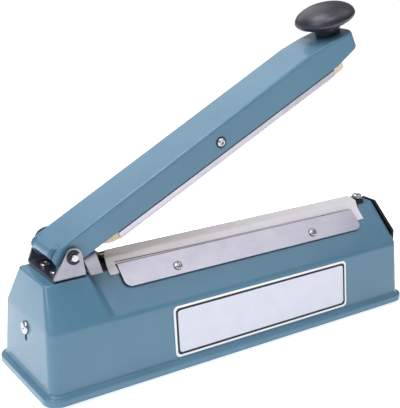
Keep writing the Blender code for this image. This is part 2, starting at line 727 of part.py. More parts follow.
def ear_outline(radius):
    """Side view that the bracket is trimmed to: straight flanks up to a round top about the pin."""
    centre = (PIN_X, PIN_HEIGHT)
    left, right = PIN_X - BRACKET_FOOT_LEFT, PIN_X + BRACKET_FOOT_RIGHT
    shoulder, below = BRACKET_BASE + BRACKET_BEND, BRACKET_BASE - OVERRUN
    start = tangent_angle((right, shoulder), centre, radius, 1)
    end = tangent_angle((left, shoulder), centre, radius, -1) + 2 * math.pi
    return arc(centre, radius, start, end, SMALL_SIDES) + [
        (left, shoulder), (left - OVERRUN, below), (right + OVERRUN, below), (right, shoulder)]


def make_bracket(body):
    half = BRACKET_WIDTH / 2
    top = PIN_HEIGHT + BACK_EAR_RADIUS + OVERRUN
    path = [(half, top), (half, BRACKET_BASE), (-half, BRACKET_BASE), (-half, top)]
    inner = offset_path(path, -BRACKET_SHEET)
    section = round_path(path, BRACKET_BEND) + round_path(inner, BRACKET_BEND - BRACKET_SHEET)[::-1]
    left, right = PIN_X - BRACKET_FOOT_LEFT, PIN_X + BRACKET_FOOT_RIGHT
    bracket = prism("hinge_bracket", section, left, right, along_x, PLATED, body)
    front = prism("ear_shape_front", ear_outline(EAR_RADIUS), -half - OVERRUN, OVERRUN, along_y,
                  PLATED, body)
    back = prism("ear_shape_back", ear_outline(BACK_EAR_RADIUS), 0, half + OVERRUN, along_y,
                 PLATED, body)
    boolean(front, back, "UNION")
    boolean(bracket, front, "INTERSECT")
    drill(bracket, "ear_hole", PIN_RADIUS + RUNNING_CLEARANCE, (PIN_X, -half, PIN_HEIGHT),
          (0, 1, 0), BRACKET_WIDTH + OVERRUN, SIDES)
    for number, (x, y) in enumerate(bracket_screw_places(), 1):
        drill(bracket, f"bracket_hole_{number}", STRIP_SCREW_RADIUS + HOLE_CLEARANCE,
              (x, y, BRACKET_BASE), (0, 0, 1), BRACKET_SHEET + OVERRUN)
        screw(f"bracket_screw_{number}", STRIP_SCREW_RADIUS, STRIP_SCREW_LENGTH,
              STRIP_SCREW_HEAD_RADIUS, STRIP_SCREW_HEAD, STEEL, body,
              (x, y, BRACKET_BASE + BRACKET_SHEET + SEAT), (0, 0, 1))


def make_pin(body):
    """The hinge pin, grooved near each end for its clip."""
    clip_start = BRACKET_WIDTH / 2 + SEAT
    groove_start = clip_start - GROOVE_SLACK
    groove_end = clip_start + CLIP_THICKNESS + GROOVE_SLACK
    end = groove_end + PIN_END
    neck = PIN_RADIUS - GROOVE_DEPTH
    half = [(neck, groove_start), (neck, groove_end), (PIN_RADIUS, groove_end),
            (PIN_RADIUS, end - PIN_CHAMFER), (PIN_RADIUS - PIN_CHAMFER, end)]
    half = [(PIN_RADIUS, groove_start)] + half
    profile = [(radius, -height) for radius, height in reversed(half)] + half
    turned("hinge_pin", profile, STEEL, body, (PIN_X, 0, PIN_HEIGHT), (0, 1, 0))
    outline = clip_outline(neck + GROOVE_SLACK, CLIP_RADIUS, CLIP_GAP_ANGLE)
    for name, side in (("pin_clip_front", -1), ("pin_clip_back", 1)):
        near, far = side * clip_start, side * (clip_start + CLIP_THICKNESS)
        clip = prism(name, outline, near, far, along_y, BLACK_STEEL, body)
        clip.location = (PIN_X, 0, PIN_HEIGHT)


def arm_top(u):
    """Height of the arm's top face over the pin line: a slow rise, then down to the knob's seat."""
    rise = (ARM_TOP_AT_SEAT - ARM_TOP_AT_PIN) / SEAT_START
    height = ARM_TOP_AT_PIN + rise * min(max(0.0, u), SEAT_START)
    height -= max(0.0, min(u, SEAT_FLAT) - SEAT_START) * math.tan(SEAT_EASE_ANGLE)
    return height - max(0.0, u - SEAT_FLAT) * math.tan(SEAT_ANGLE)


def arm_ring(u, top, low, half, radius):
    corner = arc((half - radius, top - radius), radius, 0, math.pi / 2, 4)
    right = [(half, low)] + corner
    return [(u, y, n) for y, n in right] + [(u, -y, n) for y, n in reversed(right)]


def arm_rings(inset):
    """Stations along the arm; an inset gives the hollow, which runs out through the mouth."""
    half = ARM_WIDTH / 2 - inset
    radius = ARM_EDGE_RADIUS - inset
    drop = OVERRUN if inset else 0.0
    tail = -ARM_TAIL - (OVERRUN if inset else 0.0)
    tail_end = -ARM_TAIL + ARM_TAIL_ROUND
    rings = [arm_ring(tail, ARM_TOP_AT_PIN - ARM_TAIL_DROP - inset, -ARM_TAIL_LOW - drop,
                      half, radius),
             arm_ring(-ARM_TAIL + ARM_TAIL_ROUND / 3, ARM_TOP_AT_PIN - ARM_TAIL_DROP / 3 - inset,
                      -ARM_TAIL_LOW - (ARM_LOW - ARM_TAIL_LOW) / 3 - drop, half, radius),
             arm_ring(tail_end, ARM_TOP_AT_PIN - inset, -ARM_LOW - drop, half, radius)]
    for u in (ARM_TAIL_ROUND, SEAT_START, SEAT_FLAT):
        rings.append(arm_ring(u, arm_top(u) - inset, -ARM_LOW - drop, half, radius))
    nose = NOSE_RADIUS - inset
    centre = ARM_LENGTH - NOSE_RADIUS
    for i in range(NOSE_STEPS + 1):
        a = math.pi / 2 * i / NOSE_STEPS
        u = centre + nose * math.sin(a)
        share = (u - SEAT_FLAT) / (ARM_LENGTH - SEAT_FLAT)
        low = ARM_LOW + (NOSE_LOW - ARM_LOW) * share
        rings.append(arm_ring(u, arm_top(u) - inset, -low - drop,
                              half - nose + nose * math.cos(a), radius))
    return rings


def knob_frame():
    """The middle of the knob's foot on its sloping seat, and the seat's outward direction."""
    outward = (math.sin(SEAT_ANGLE), 0, math.cos(SEAT_ANGLE))
    return Vector((KNOB_AT, 0, arm_top(KNOB_AT))), Vector(outward)


def make_arm(arm):
    channel = loft("arm", arm_rings(0), BLUE, arm)
    cut(channel, loft("arm_hollow", arm_rings(ARM_SHEET), BLUE, arm))
    half = ARM_WIDTH / 2
    drill(channel, "arm_pin_hole", PIN_RADIUS + RUNNING_CLEARANCE, (0, -half, 0), (0, 1, 0),
          ARM_WIDTH + OVERRUN, SIDES)
    drill(channel, "arm_pivot_hole", PIVOT_RADIUS + HOLE_CLEARANCE,
          (PIVOT_ALONG, -half, PIVOT_ABOVE), (0, 1, 0), ARM_WIDTH + OVERRUN)
    seat, outward = knob_frame()
    drill(channel, "arm_knob_hole", KNOB_SCREW_RADIUS + HOLE_CLEARANCE, seat, -outward,
          ARM_SHEET + OVERRUN)


def make_knob(arm):
    seat, outward = knob_frame()
    under = [(KNOB_NECK_RADIUS + (KNOB_RADIUS - KNOB_NECK_RADIUS) * math.sin(a),
              KNOB_NECK_HEIGHT + (KNOB_RIM_HEIGHT - KNOB_NECK_HEIGHT) * (1 - math.cos(a)))
             for a in [math.pi / 2 * i / 6 for i in range(1, 6)]]
    dome = [(KNOB_RADIUS * math.cos(a), KNOB_RIM_HEIGHT + (KNOB_HEIGHT - KNOB_RIM_HEIGHT) * math.sin(a))
            for a in [math.pi / 2 * i / 8 for i in range(0, 8)]]
    hole = KNOB_SCREW_RADIUS + HOLE_CLEARANCE
    depth = KNOB_SCREW_DEPTH + HOLE_CLEARANCE
    profile = [(KNOB_FOOT_RADIUS, 0), (KNOB_NECK_RADIUS, KNOB_NECK_HEIGHT)] + under + dome
    knob = turned("knob", profile, BAKELITE, arm, seat + outward * SEAT, outward, 2 * SMALL_SIDES)
    drill(knob, "knob_hole", hole, seat + outward * SEAT, outward, depth)
    inside = seat - outward * (ARM_SHEET + SEAT)
    screw("knob_screw", KNOB_SCREW_RADIUS, KNOB_SCREW_DEPTH + ARM_SHEET, KNOB_SCREW_HEAD_RADIUS,
          KNOB_SCREW_HEAD, STEEL, arm, inside, -outward)


def make_bar(bar):
    """The pressure bar hangs from two lugs on its pivot; zero here is the pivot."""
    start, end = BAR_START - PIVOT_ALONG, BAR_END - PIVOT_ALONG
    top, bottom = -BAR_TOP - PIVOT_ABOVE, -BAR_BOTTOM - PIVOT_ABOVE
    half = BAR_WIDTH / 2
    path = [(-half, bottom), (-half, top), (half, top), (half, bottom)]
    rail = prism("pressure_bar", band(path, -BAR_SHEET), start, end, along_x, ALUMINIUM, bar)
    low = top - BAR_SHEET / 2
    lug = arc((0, 0), LUG_RADIUS, 0, math.pi, SMALL_SIDES)
    lug += [(-LUG_WIDTH / 2, low), (LUG_WIDTH / 2, low)]
    for name, side in (("lug_front", -1), ("lug_back", 1)):
        near, far = side * (half - BAR_SHEET), side * half
        boolean(rail, prism(name, lug, near, far, along_y, ALUMINIUM, bar), "UNION")
    drill(rail, "lug_hole", PIVOT_RADIUS + RUNNING_CLEARANCE, (0, -half, 0), (0, 1, 0),
          BAR_WIDTH + OVERRUN)


def make_rubber(bar):
    """The silicone strip fills the bar, stands out at both ends and curls up at the hinge end."""
    start, end = RUBBER_START - PIVOT_ALONG, RUBBER_END - PIVOT_ALONG
    curl_end = BAR_START - PIVOT_ALONG
    top = -BAR_TOP - PIVOT_ABOVE - BAR_SHEET - SEAT
    bottom = -STRIP_BOTTOM - PIVOT_ABOVE
    steps = 5
    under = []
    for i in range(steps + 1):
        share = i / steps
        under.append((start + (curl_end - start) * share, bottom + RUBBER_CURL * (1 - share) ** 2))
    tip_top = bottom + RUBBER_CURL + RUBBER_TIP
    outline = under + [(end, bottom), (end, top), (curl_end, top), (start, tip_top)]
    half = BAR_WIDTH / 2 - BAR_SHEET - SEAT
    prism("silicone_strip", outline, -half, half, along_y, SILICONE, bar)


def make_pivot(arm):
    """A rivet with a head on each side of the arm, and two bushes on it that centre the bar."""
    half = ARM_WIDTH / 2
    face = half + SEAT
    head = pan_head(PIVOT_HEAD_RADIUS, PIVOT_HEAD)
    right = [(PIVOT_RADIUS, face)] + [(radius, face + height) for radius, height in head]
    profile = [(radius, -height) for radius, height in reversed(right)] + right
    turned("pivot_rivet", profile, STEEL, arm, (PIVOT_ALONG, 0, PIVOT_ABOVE), (0, 1, 0), SMALL_SIDES)
    bore = PIVOT_RADIUS + HOLE_CLEARANCE / 2
    near = BAR_WIDTH / 2 + SEAT
    far = half - ARM_SHEET - SEAT
    profile = [(bore, near), (BUSH_RADIUS, near), (BUSH_RADIUS, far), (bore, far)]
    for name, side in (("pivot_bush_front", -1), ("pivot_bush_back", 1)):
        turned(name, profile, STEEL, arm, (PIVOT_ALONG, 0, PIVOT_ABOVE), (0, side, 0),
               SMALL_SIDES, bored=True)


def make_platform(body):
    top_half, foot_half = PLATFORM_TOP_WIDTH / 2, PLATFORM_FOOT_WIDTH / 2
    lift = LAYER / math.cos(SLOPE)
    foot = (foot_half, roof_height(foot_half) + lift)
    half = [(top_half, PLATFORM_TOP), foot, (RIDGE_HALF, RIDGE_HEIGHT + lift)]
    outline = half + [(-y, z) for y, z in reversed(half)]
    bar = prism("platform", outline, PLATFORM_LEFT_X, END_BLOCK_X, along_x, PHENOLIC, body)
    block_top = PLATFORM_TOP - END_BLOCK_DROP
    low = RIDGE_HEIGHT + lift
    end = [(-top_half, low), (top_half, low), (top_half, block_top), (-top_half, block_top)]
    boolean(bar, prism("end_block", end, END_BLOCK_X - OVERRUN, PLATFORM_RIGHT_X, along_x, PHENOLIC,
                       body), "UNION")
    drill(bar, "terminal_hole", TERMINAL_SCREW_RADIUS + HOLE_CLEARANCE,
          (TERMINAL_X, 0, block_top), (0, 0, -1), PLATFORM_RISE / 2)


def make_element(body):
    """The nichrome ribbon drops from its left tab to the platform and ends in an eye."""
    low = PLATFORM_TOP + LAYER
    half = RIBBON_WIDTH / 2
    stations = [(TAB_RIGHT_X + SEAT, half, POST_TOP + SEAT), (CLOTH_LEFT_X - SEAT, half, low),
                (END_BLOCK_X, half, low), (END_BLOCK_X + END_BLOCK_DROP, half, low - END_BLOCK_DROP)]
    low -= END_BLOCK_DROP
    start = math.pi - math.asin(half / EYE_RADIUS)
    for i in range(EYE_STEPS + 1):
        a = start + (EYE_END - start) * i / EYE_STEPS
        stations.append((TERMINAL_X + EYE_RADIUS * math.cos(a), EYE_RADIUS * math.sin(a), low))
    rings = []
    for x, y, z in stations:
        high = z + RIBBON_THICKNESS
        rings.append([(x, -y, z), (x, y, z), (x, y, high), (x, -y, high)])
    element = loft("heating_element", rings, NICHROME, body)
    drill(element, "eye_hole", TERMINAL_SCREW_RADIUS + HOLE_CLEARANCE, (TERMINAL_X, 0, low),
          (0, 0, 1), RIBBON_THICKNESS + OVERRUN)


def over_platform():
    """The surface that the cloth lies on, from front to back, as (y, z)."""
    edge = CLOTH_HALF_SPAN
    foot = PLATFORM_FOOT_WIDTH / 2
    front = [(-edge, roof_height(edge)), (-foot, roof_height(foot) + LAYER / math.cos(SLOPE)),
             (-PLATFORM_TOP_WIDTH / 2, RIBBON_TOP)]
    return front + [(-y, z) for y, z in reversed(front)]


def make_cloth(body):
    outline = band(offset_path(over_platform(), LAYER), CLOTH_THICKNESS)
    prism("release_cloth", outline, CLOTH_LEFT_X, CLOTH_RIGHT_X, along_x, CLOTH, body)


def strip_outline():
    """One clamp strip flat: (x, distance down the slope from its upper edge)."""
    drop = (STRIP_LOWER_Y - STRIP_UPPER_Y) / math.cos(SLOPE)
    low = drop - STRIP_CORNER
    left, right = STRIP_LEFT_X + STRIP_CORNER, STRIP_RIGHT_X - STRIP_CORNER
    right_corner = arc((right, low), STRIP_CORNER, 0, math.pi / 2, CORNER_STEPS)
    left_corner = arc((left, low), STRIP_CORNER, math.pi / 2, math.pi, CORNER_STEPS)
    return [(STRIP_LEFT_X, 0), (STRIP_RIGHT_X, 0)] + right_corner + left_corner


def make_strips(body):
    lift = 3 * LAYER + CLOTH_THICKNESS
    for name, side in (("clamp_strip_front", -1), ("clamp_strip_back", 1)):
        def place(x, down, out, side=side):
            return on_roof(x, STRIP_UPPER_Y + down * math.cos(SLOPE), out, side)
        strip = prism(name, strip_outline(), lift, lift + STRIP_SHEET, place, PLATED, body)
        out = (0, side * math.sin(SLOPE), math.cos(SLOPE))
        for number, (x, where) in enumerate(strip_screw_places(), 1):
            if where != side:
                continue
            drill(strip, f"{name}_hole_{number}", STRIP_SCREW_RADIUS + HOLE_CLEARANCE,
                  on_roof(x, STRIP_SCREW_Y, lift, side), out, STRIP_SHEET + OVERRUN)
            screw(f"strip_screw_{number}", STRIP_SCREW_RADIUS, STRIP_SCREW_LENGTH,
                  STRIP_SCREW_HEAD_RADIUS, STRIP_SCREW_HEAD, STEEL, body,
                  on_roof(x, STRIP_SCREW_Y, lift + STRIP_SHEET + SEAT, side), out)


def make_terminals(body):
    base = BRACKET_BASE + GUARD_SHEET + SEAT
    hole = TERMINAL_SCREW_RADIUS + HOLE_CLEARANCE
    post = turned("terminal_post", [(POST_RADIUS, base), (POST_RADIUS, POST_TOP)], PHENOLIC, body,
                  (POST_X, 0, 0), sides=SMALL_SIDES)
    depth = (POST_TOP - base) * 3 / 4
    drill(post, "post_hole", hole, (POST_X, 0, POST_TOP), (0, 0, -1), depth)
    tab_low = POST_TOP + SEAT
    half = TAB_WIDTH / 2
    cap = arc((POST_X, 0), half, math.pi / 2, 3 * math.pi / 2, SMALL_SIDES // 2)
    outline = cap + [(TAB_RIGHT_X, -half), (TAB_RIGHT_X, half)]
    tab = prism("element_tab_left", outline, tab_low, tab_low + TAB_THICKNESS, along_z, BRASS, body)
    drill(tab, "tab_hole_left", hole, (POST_X, 0, tab_low), (0, 0, 1), TAB_THICKNESS + OVERRUN)
    screw("terminal_screw_left", TERMINAL_SCREW_RADIUS, TAB_THICKNESS + 2 * SEAT + depth * 3 / 4,
          TERMINAL_HEAD_RADIUS, TERMINAL_HEAD, STEEL, body,
          (POST_X, 0, tab_low + TAB_THICKNESS + SEAT), (0, 0, 1))

    washer_low = RIBBON_TOP - END_BLOCK_DROP + SEAT
    washer_high = washer_low + WASHER_THICKNESS
    profile = [(hole, washer_low), (WASHER_RADIUS, washer_low), (WASHER_RADIUS, washer_high),
               (hole, washer_high)]
    turned("terminal_washer", profile, STEEL, body, (TERMINAL_X, 0, 0), sides=SMALL_SIDES,
           bored=True)
    reach = washer_high + SEAT - PLATFORM_TOP + END_BLOCK_DROP + PLATFORM_RISE / 3
    screw("terminal_screw_right", TERMINAL_SCREW_RADIUS, reach, WASHER_RADIUS - SEAT,
          STRIP_SCREW_HEAD, STEEL, body, (TERMINAL_X, 0, washer_high + SEAT), (0, 0, 1))


def make_guard(body):
    half, top_half = GUARD_WIDTH / 2, GUARD_TOP_WIDTH / 2
    path = [(top_half, GUARD_TOP), (half, BRACKET_BASE), (-half, BRACKET_BASE),
            (-top_half, GUARD_TOP)]
    inner = offset_path(path, -GUARD_SHEET)
    section = round_path(path, GUARD_BEND) + round_path(inner, GUARD_BEND - GUARD_SHEET)[::-1]
    guard = prism("spring_guard", section, GUARD_LEFT_X, GUARD_RIGHT_X, along_x, PLATED, body)
    drill(guard, "guard_rod_hole", ROD_RADIUS + HOLE_CLEARANCE, (ROD_X, 0, BRACKET_BASE),
          (0, 0, 1), GUARD_SHEET + OVERRUN)
    for number, (x, y) in enumerate(guard_screw_places(), 1):
        drill(guard, f"guard_screw_hole_{number}", STRIP_SCREW_RADIUS + HOLE_CLEARANCE,
              (x, y, BRACKET_BASE), (0, 0, 1), GUARD_SHEET + OVERRUN)
        screw(f"guard_screw_{number}", STRIP_SCREW_RADIUS, STRIP_SCREW_LENGTH,
              STRIP_SCREW_HEAD_RADIUS - LAYER, STRIP_SCREW_HEAD, STEEL, body,
              (x, y, BRACKET_BASE + GUARD_SHEET + SEAT), (0, 0, 1))


def closed_angle():
    """The arm's angle when the level strip just clears the cloth on the platform."""
    drop = PIN_HEIGHT - STRIP_BOTTOM - CLOTH_TOP - LAYER
    return math.asin(-drop / PIVOT_ALONG)


def rod_top(arm_angle):
    """Height of the rod's dome, one seat clear of the underside of the arm's top sheet."""
    lever = ROD_X - PIN_X
    web = ARM_TOP_AT_PIN - ARM_SHEET
    lean = (ARM_TOP_AT_SEAT - ARM_TOP_AT_PIN) / SEAT_START
    tilt = arm_angle + math.atan(lean)
    return (PIN_HEIGHT + lever * math.tan(tilt) + (web - ROD_DOME - SEAT) / math.cos(tilt)
            + ROD_DOME)


def make_rod(rod):
    """The push rod, swaged out under the roof; zero here is on its axis at the housing's edge."""
    top = rod_top(OPEN_ANGLE)
    stroke = top - rod_top(closed_angle())
    foot = SWITCH_TOP + BUTTON_PROUD - BUTTON_TRAVEL + stroke + LAYER
    print(f"arm closes by {math.degrees(OPEN_ANGLE - closed_angle()):.2f} deg, rod stroke {stroke:.5f} m")
    spread = math.asin(ROD_CAP_RADIUS / ROD_DOME)
    dome = [(ROD_DOME * math.sin(spread * i / 4), top - ROD_DOME + ROD_DOME * math.cos(spread * i / 4))
            for i in (4, 3, 2, 1)]
    under = dome[0][1] - ROD_CAP_EDGE
    collar_top = RIDGE_HEIGHT - WALL - SEAT
    collar_low = collar_top - ROD_COLLAR
    profile = [(ROD_RADIUS, foot), (ROD_RADIUS, collar_low), (ROD_COLLAR_RADIUS, collar_low),
               (ROD_COLLAR_RADIUS, collar_top), (ROD_RADIUS, collar_top), (ROD_RADIUS, under),
               (ROD_CAP_RADIUS, under)]
    turned("push_rod", profile + dome, STEEL, rod, (0, 0, 0), sides=SMALL_SIDES)
    return under


def make_spring(body, under):
    """A compression spring between the guard's floor and the rod's cap, as one swept tube."""
    low = BRACKET_BASE + GUARD_SHEET + SEAT + SPRING_WIRE
    high = under - SEAT - SPRING_WIRE
    path = []
    count = SPRING_TURNS * SPRING_STEPS
    for i in range(count + 1):
        turn = 2 * math.pi * i / SPRING_STEPS
        path.append(Vector((ROD_X + SPRING_RADIUS * math.cos(turn),
                            SPRING_RADIUS * math.sin(turn), low + (high - low) * i / count)))
    pitch = (high - low) / SPRING_TURNS
    print(f"return_spring: least gap between turns {(pitch - 2 * SPRING_WIRE) * 1000:.2f} mm")
    rings = []
    for i, point in enumerate(path):
        ahead = (path[min(i + 1, count)] - path[max(i - 1, 0)]).normalized()
        out = Vector((point.x - ROD_X, point.y, 0)).normalized()
        up = ahead.cross(out)
        rings.append([point + SPRING_WIRE * (out * math.cos(a) + up * math.sin(a))
                      for a in [math.pi / 3 * k for k in range(6)]])
    loft("return_spring", rings, STEEL, body)


def make_switch(body):
    """Micro switch on an angled bracket; the end screw clamps the bracket through the wall's slot."""
    top = SWITCH_TOP
    left = ROD_X - SWITCH_LENGTH / 4
    box = [(left, top - SWITCH_HEIGHT), (left + SWITCH_LENGTH, top - SWITCH_HEIGHT),
           (left + SWITCH_LENGTH, top), (left, top)]
    half = SWITCH_WIDTH / 2
    switch = prism("micro_switch", box, -half, half, along_y, PHENOLIC, body)
    pocket_x = BUTTON_LENGTH / 2 + BUTTON_CLEARANCE
    pocket_low = top - BUTTON_DEPTH - BUTTON_TRAVEL - SEAT
    pocket = [(ROD_X - pocket_x, pocket_low), (ROD_X + pocket_x, pocket_low),
              (ROD_X + pocket_x, top + OVERRUN), (ROD_X - pocket_x, top + OVERRUN)]
    pocket_y = BUTTON_WIDTH / 2 + BUTTON_CLEARANCE
    cut(switch, prism("switch_pocket", pocket, -pocket_y, pocket_y, along_y, PHENOLIC, body))

    shelf = top - SWITCH_HEIGHT - SEAT
    wall_x = LEFT_KINK_X + WALL + SEAT
    bend = SWITCH_BRACKET_SHEET * 2
    path = [(left + SWITCH_LENGTH, shelf), (wall_x, shelf), (wall_x, SWITCH_BRACKET_LOW)]
    inner = offset_path(path, SWITCH_BRACKET_SHEET)
    section = round_path(path, bend) + round_path(inner, bend - SWITCH_BRACKET_SHEET)[::-1]
    half = SWITCH_BRACKET_WIDTH / 2
    return prism("switch_bracket", section, -half, half, along_y, ZINC, body)


def make_button(button):
    half_x, half_y = BUTTON_LENGTH / 2, BUTTON_WIDTH / 2
    box = [(-half_x, -half_y), (half_x, -half_y), (half_x, half_y), (-half_x, half_y)]
    prism("switch_button", box, -BUTTON_DEPTH, BUTTON_PROUD, along_z, RED, button)


def make_end_screw(body, bracket):
    lean = math.atan2(LEFT_KINK_INSET, KINK_HEIGHT - FOOT_HEIGHT)
    out = (-math.cos(lean), 0, math.sin(lean))
    x = -FOOT_HALF_LENGTH + math.tan(lean) * (END_SCREW_HEIGHT - FOOT_HEIGHT) - SEAT
    place = (x, 0, END_SCREW_HEIGHT)
    screw("end_screw", END_SCREW_RADIUS, END_SCREW_LENGTH, END_SCREW_HEAD_RADIUS,
          END_SCREW_HEAD, STEEL, body, place, out)
    drill(bracket, "switch_bracket_hole", END_SCREW_RADIUS + HOLE_CLEARANCE, place,
          (-out[0], 0, -out[2]), END_SCREW_LENGTH + OVERRUN)


def panel_face_x(height):
    """The outside of the right end wall at a height."""
    return FOOT_HALF_LENGTH - END_LEAN * (height - FOOT_HEIGHT)


def panel_screw_places():
    return [(-PANEL_SCREW_Y, PANEL_SCREW_LOW), (PANEL_SCREW_Y, PANEL_SCREW_LOW)]


def make_panel(body):
    """The black plate follows the roof at the top and is narrower than the wall below the kink."""
    drop = PANEL_EDGE
    shoulder = roof_height(PANEL_HALF_WIDTH)
    half = [(PANEL_HALF_WIDTH, PANEL_BOTTOM), (PANEL_HALF_WIDTH, shoulder - drop),
            (RIDGE_HALF, RIDGE_HEIGHT - drop)]
    outline = half + [(-y, z) for y, z in reversed(half)]

    def place(y, z, out):
        return (panel_face_x(z) + out, y, z)

    panel = prism("timer_panel", outline, PANEL_BACK_GAP, PANEL_BACK_GAP + PANEL_THICKNESS, place,
                  BLACK_PLASTIC, body)
    face = FOOT_HALF_LENGTH + PANEL_BACK_GAP + PANEL_THICKNESS
    through = PANEL_THICKNESS + RIGHT_RIDGE_INSET + OVERRUN
    drill(panel, "panel_bushing_hole", BUSHING_RADIUS + HOLE_CLEARANCE, (face, 0, DIAL_HEIGHT),
          (-1, 0, 0), through)
    drill(panel, "panel_lamp_hole", LAMP_BODY_RADIUS + HOLE_CLEARANCE, (face, 0, LAMP_HEIGHT),
          (-1, 0, 0), through)
    for number, (y, z) in enumerate(panel_screw_places(), 1):
        drill(panel, f"panel_screw_hole_{number}", STRIP_SCREW_RADIUS + HOLE_CLEARANCE,
              (face, y, z), (-1, 0, 0), through)
        screw(f"panel_screw_{number}", STRIP_SCREW_RADIUS, STRIP_SCREW_LENGTH,
              PANEL_SCREW_HEAD_RADIUS, STRIP_SCREW_HEAD, STEEL, body,
              (panel_face_x(z) + PANEL_BACK_GAP + PANEL_THICKNESS + SEAT, y, z), (1, 0, 0))


def make_timer(body):
    """Potentiometer behind the wall, its board, and its bush out through wall and panel."""
    inner = panel_face_x(DIAL_HEIGHT - POT_RADIUS) - WALL - RIGHT_RIDGE_INSET / 2
    pot_face = inner - SEAT
    bore = SHAFT_RADIUS + RUNNING_CLEARANCE
    bush_end = FOOT_HALF_LENGTH + PANEL_BACK_GAP + PANEL_THICKNESS + BUSHING_PROUD
    back = pot_face - POT_DEPTH
    well = pot_face - POT_DEPTH / 2
    profile = [(bore, bush_end), (BUSHING_RADIUS, bush_end), (BUSHING_RADIUS, pot_face),
               (POT_RADIUS, pot_face), (POT_RADIUS, back), (bore, back)]
    turned("potentiometer", profile, ZINC, body, (0, 0, DIAL_HEIGHT), (1, 0, 0), bored=True)
    half = BOARD_WIDTH / 2
    low = DIAL_HEIGHT - BOARD_HEIGHT / 2
    outline = [(-half, low), (half, low), (half, low + BOARD_HEIGHT), (-half, low + BOARD_HEIGHT)]
    prism("timer_board", outline, back - SEAT - BOARD_THICKNESS, back - SEAT, along_x,
          BOARD, body)
    lamp_face = panel_face_x(LAMP_HEIGHT) + PANEL_BACK_GAP + PANEL_THICKNESS + SEAT
    lens = [(LAMP_LENS_RADIUS, 0), (LAMP_LENS_RADIUS, LAMP_PROUD / 3)]
    lens += [(LAMP_LENS_RADIUS * math.cos(a), LAMP_PROUD / 3 + LAMP_PROUD * 2 / 3 * math.sin(a))
             for a in HEAD_ANGLES]
    profile = [(LAMP_BODY_RADIUS, -LAMP_BODY_DEPTH), (LAMP_BODY_RADIUS, 0)] + lens
    turned("indicator_lamp", profile, LAMP_RED, body, (lamp_face, 0, LAMP_HEIGHT), (1, 0, 0),
           SMALL_SIDES)
    return well


def make_dial(dial, well):
    """Fluted dial on its shaft; zero here is on the shaft's axis at the panel's face."""
    low = DIAL_STANDOFF
    high = low + DIAL_DEPTH
    count = 3 * DIAL_FLUTES
    rings = []
    for radius, height, deep in ((DIAL_RADIUS, low, 0.0), (DIAL_RADIUS, low + DIAL_SKIRT, 0.0),
                                 (DIAL_GRIP_RADIUS, low + DIAL_SKIRT, FLUTE_DEPTH),
                                 (DIAL_GRIP_RADIUS, high - DIAL_CHAMFER, FLUTE_DEPTH),
                                 (DIAL_GRIP_RADIUS - DIAL_CHAMFER, high, FLUTE_DEPTH)):
        ring = []
        for i in range(count):
            r = radius - (deep if i % 3 == 0 else 0.0)
            a = 2 * math.pi * i / count
            ring.append((r * math.cos(a), r * math.sin(a), height))
        rings.append(ring)
    face = FOOT_HALF_LENGTH + PANEL_BACK_GAP + PANEL_THICKNESS
    knob = loft("timer_dial", rings, BLACK_PLASTIC, dial)
    aim(knob, (0, 0, 0), (1, 0, 0))
    hollow = BUSHING_RADIUS + SEAT + LAYER
    drill(knob, "dial_recess", hollow, (0, 0, 0), (1, 0, 0), BUSHING_PROUD + SEAT)
    drill(knob, "dial_bore", SHAFT_RADIUS + LAYER, (0, 0, 0), (1, 0, 0),
          low + DIAL_BORE_DEPTH)
    start = well - face
    end = low + DIAL_BORE_DEPTH - SEAT
    turned("timer_shaft", [(SHAFT_RADIUS, start), (SHAFT_RADIUS, end)], ZINC, dial, (0, 0, 0),
           (1, 0, 0), SMALL_SIDES)


def core_screw_places():
    reach = (CORE_LENGTH + CORE_FOOT) / 2
    return [CORE_X - reach, CORE_X + reach]


def make_transformer(body):
    """A laminated core with a foot at each end, and the winding round its middle limb."""
    base = COVER_TOP + SEAT
    half, top = CORE_LENGTH / 2, base + CORE_HEIGHT
    foot, foot_top = half + CORE_FOOT, base + CORE_FOOT_HEIGHT
    side = [(foot, base), (foot, foot_top), (half, foot_top), (half, top)]
    outline = [(CORE_X + x, z) for x, z in side] + [(CORE_X - x, z) for x, z in reversed(side)]
    deep = CORE_DEPTH / 2
    core = prism("transformer_core", outline, -deep, deep, along_y, CORE_STEEL, body)
    window = (CORE_LENGTH - CORE_LIMB - 2 * CORE_YOKE) / 2
    for name, side in (("window_left", -1), ("window_right", 1)):
        near = CORE_X + side * CORE_LIMB / 2
        far = near + side * window
        low, high = base + CORE_YOKE, top - CORE_YOKE
        hole = [(near, low), (far, low), (far, high), (near, high)]
        cut(core, prism(name, hole, -deep - OVERRUN, deep + OVERRUN, along_y, CORE_STEEL, body))
    inner_x, inner_y = CORE_LIMB / 2 + SEAT, deep + SEAT
    low, high = base + CORE_YOKE + SEAT, top - CORE_YOKE - SEAT
    rings = []
    for wall, height in ((0.0, low), (COIL_WALL, low), (COIL_WALL, high), (0.0, high)):
        x, y = inner_x + wall, inner_y + wall
        rings.append([(CORE_X - x, -y, height), (CORE_X + x, -y, height),
                      (CORE_X + x, y, height), (CORE_X - x, y, height)])
    loft("transformer_coil", rings, COPPER, body, wrap=True)

    for number, x in enumerate(core_screw_places(), 1):
        drill(core, f"core_hole_{number}", COVER_SCREW_RADIUS + HOLE_CLEARANCE, (x, 0, base),
              (0, 0, 1), CORE_FOOT_HEIGHT + OVERRUN)
        screw(f"core_screw_{number}", COVER_SCREW_RADIUS, CORE_SCREW_LENGTH,
              COVER_SCREW_HEAD_RADIUS, COVER_SCREW_HEAD, STEEL, body,
              (x, 0, COVER_RECESS - SEAT), (0, 0, -1))


def inlet_place():
    """The middle of the cord inlet on the outside of the drafted rear wall."""
    return (INLET_X, FOOT_HALF_WIDTH - (INLET_HEIGHT - FOOT_HEIGHT) * math.tan(DRAFT), INLET_HEIGHT)


def inlet_inward():
    return (0, -math.cos(DRAFT), -math.sin(DRAFT))


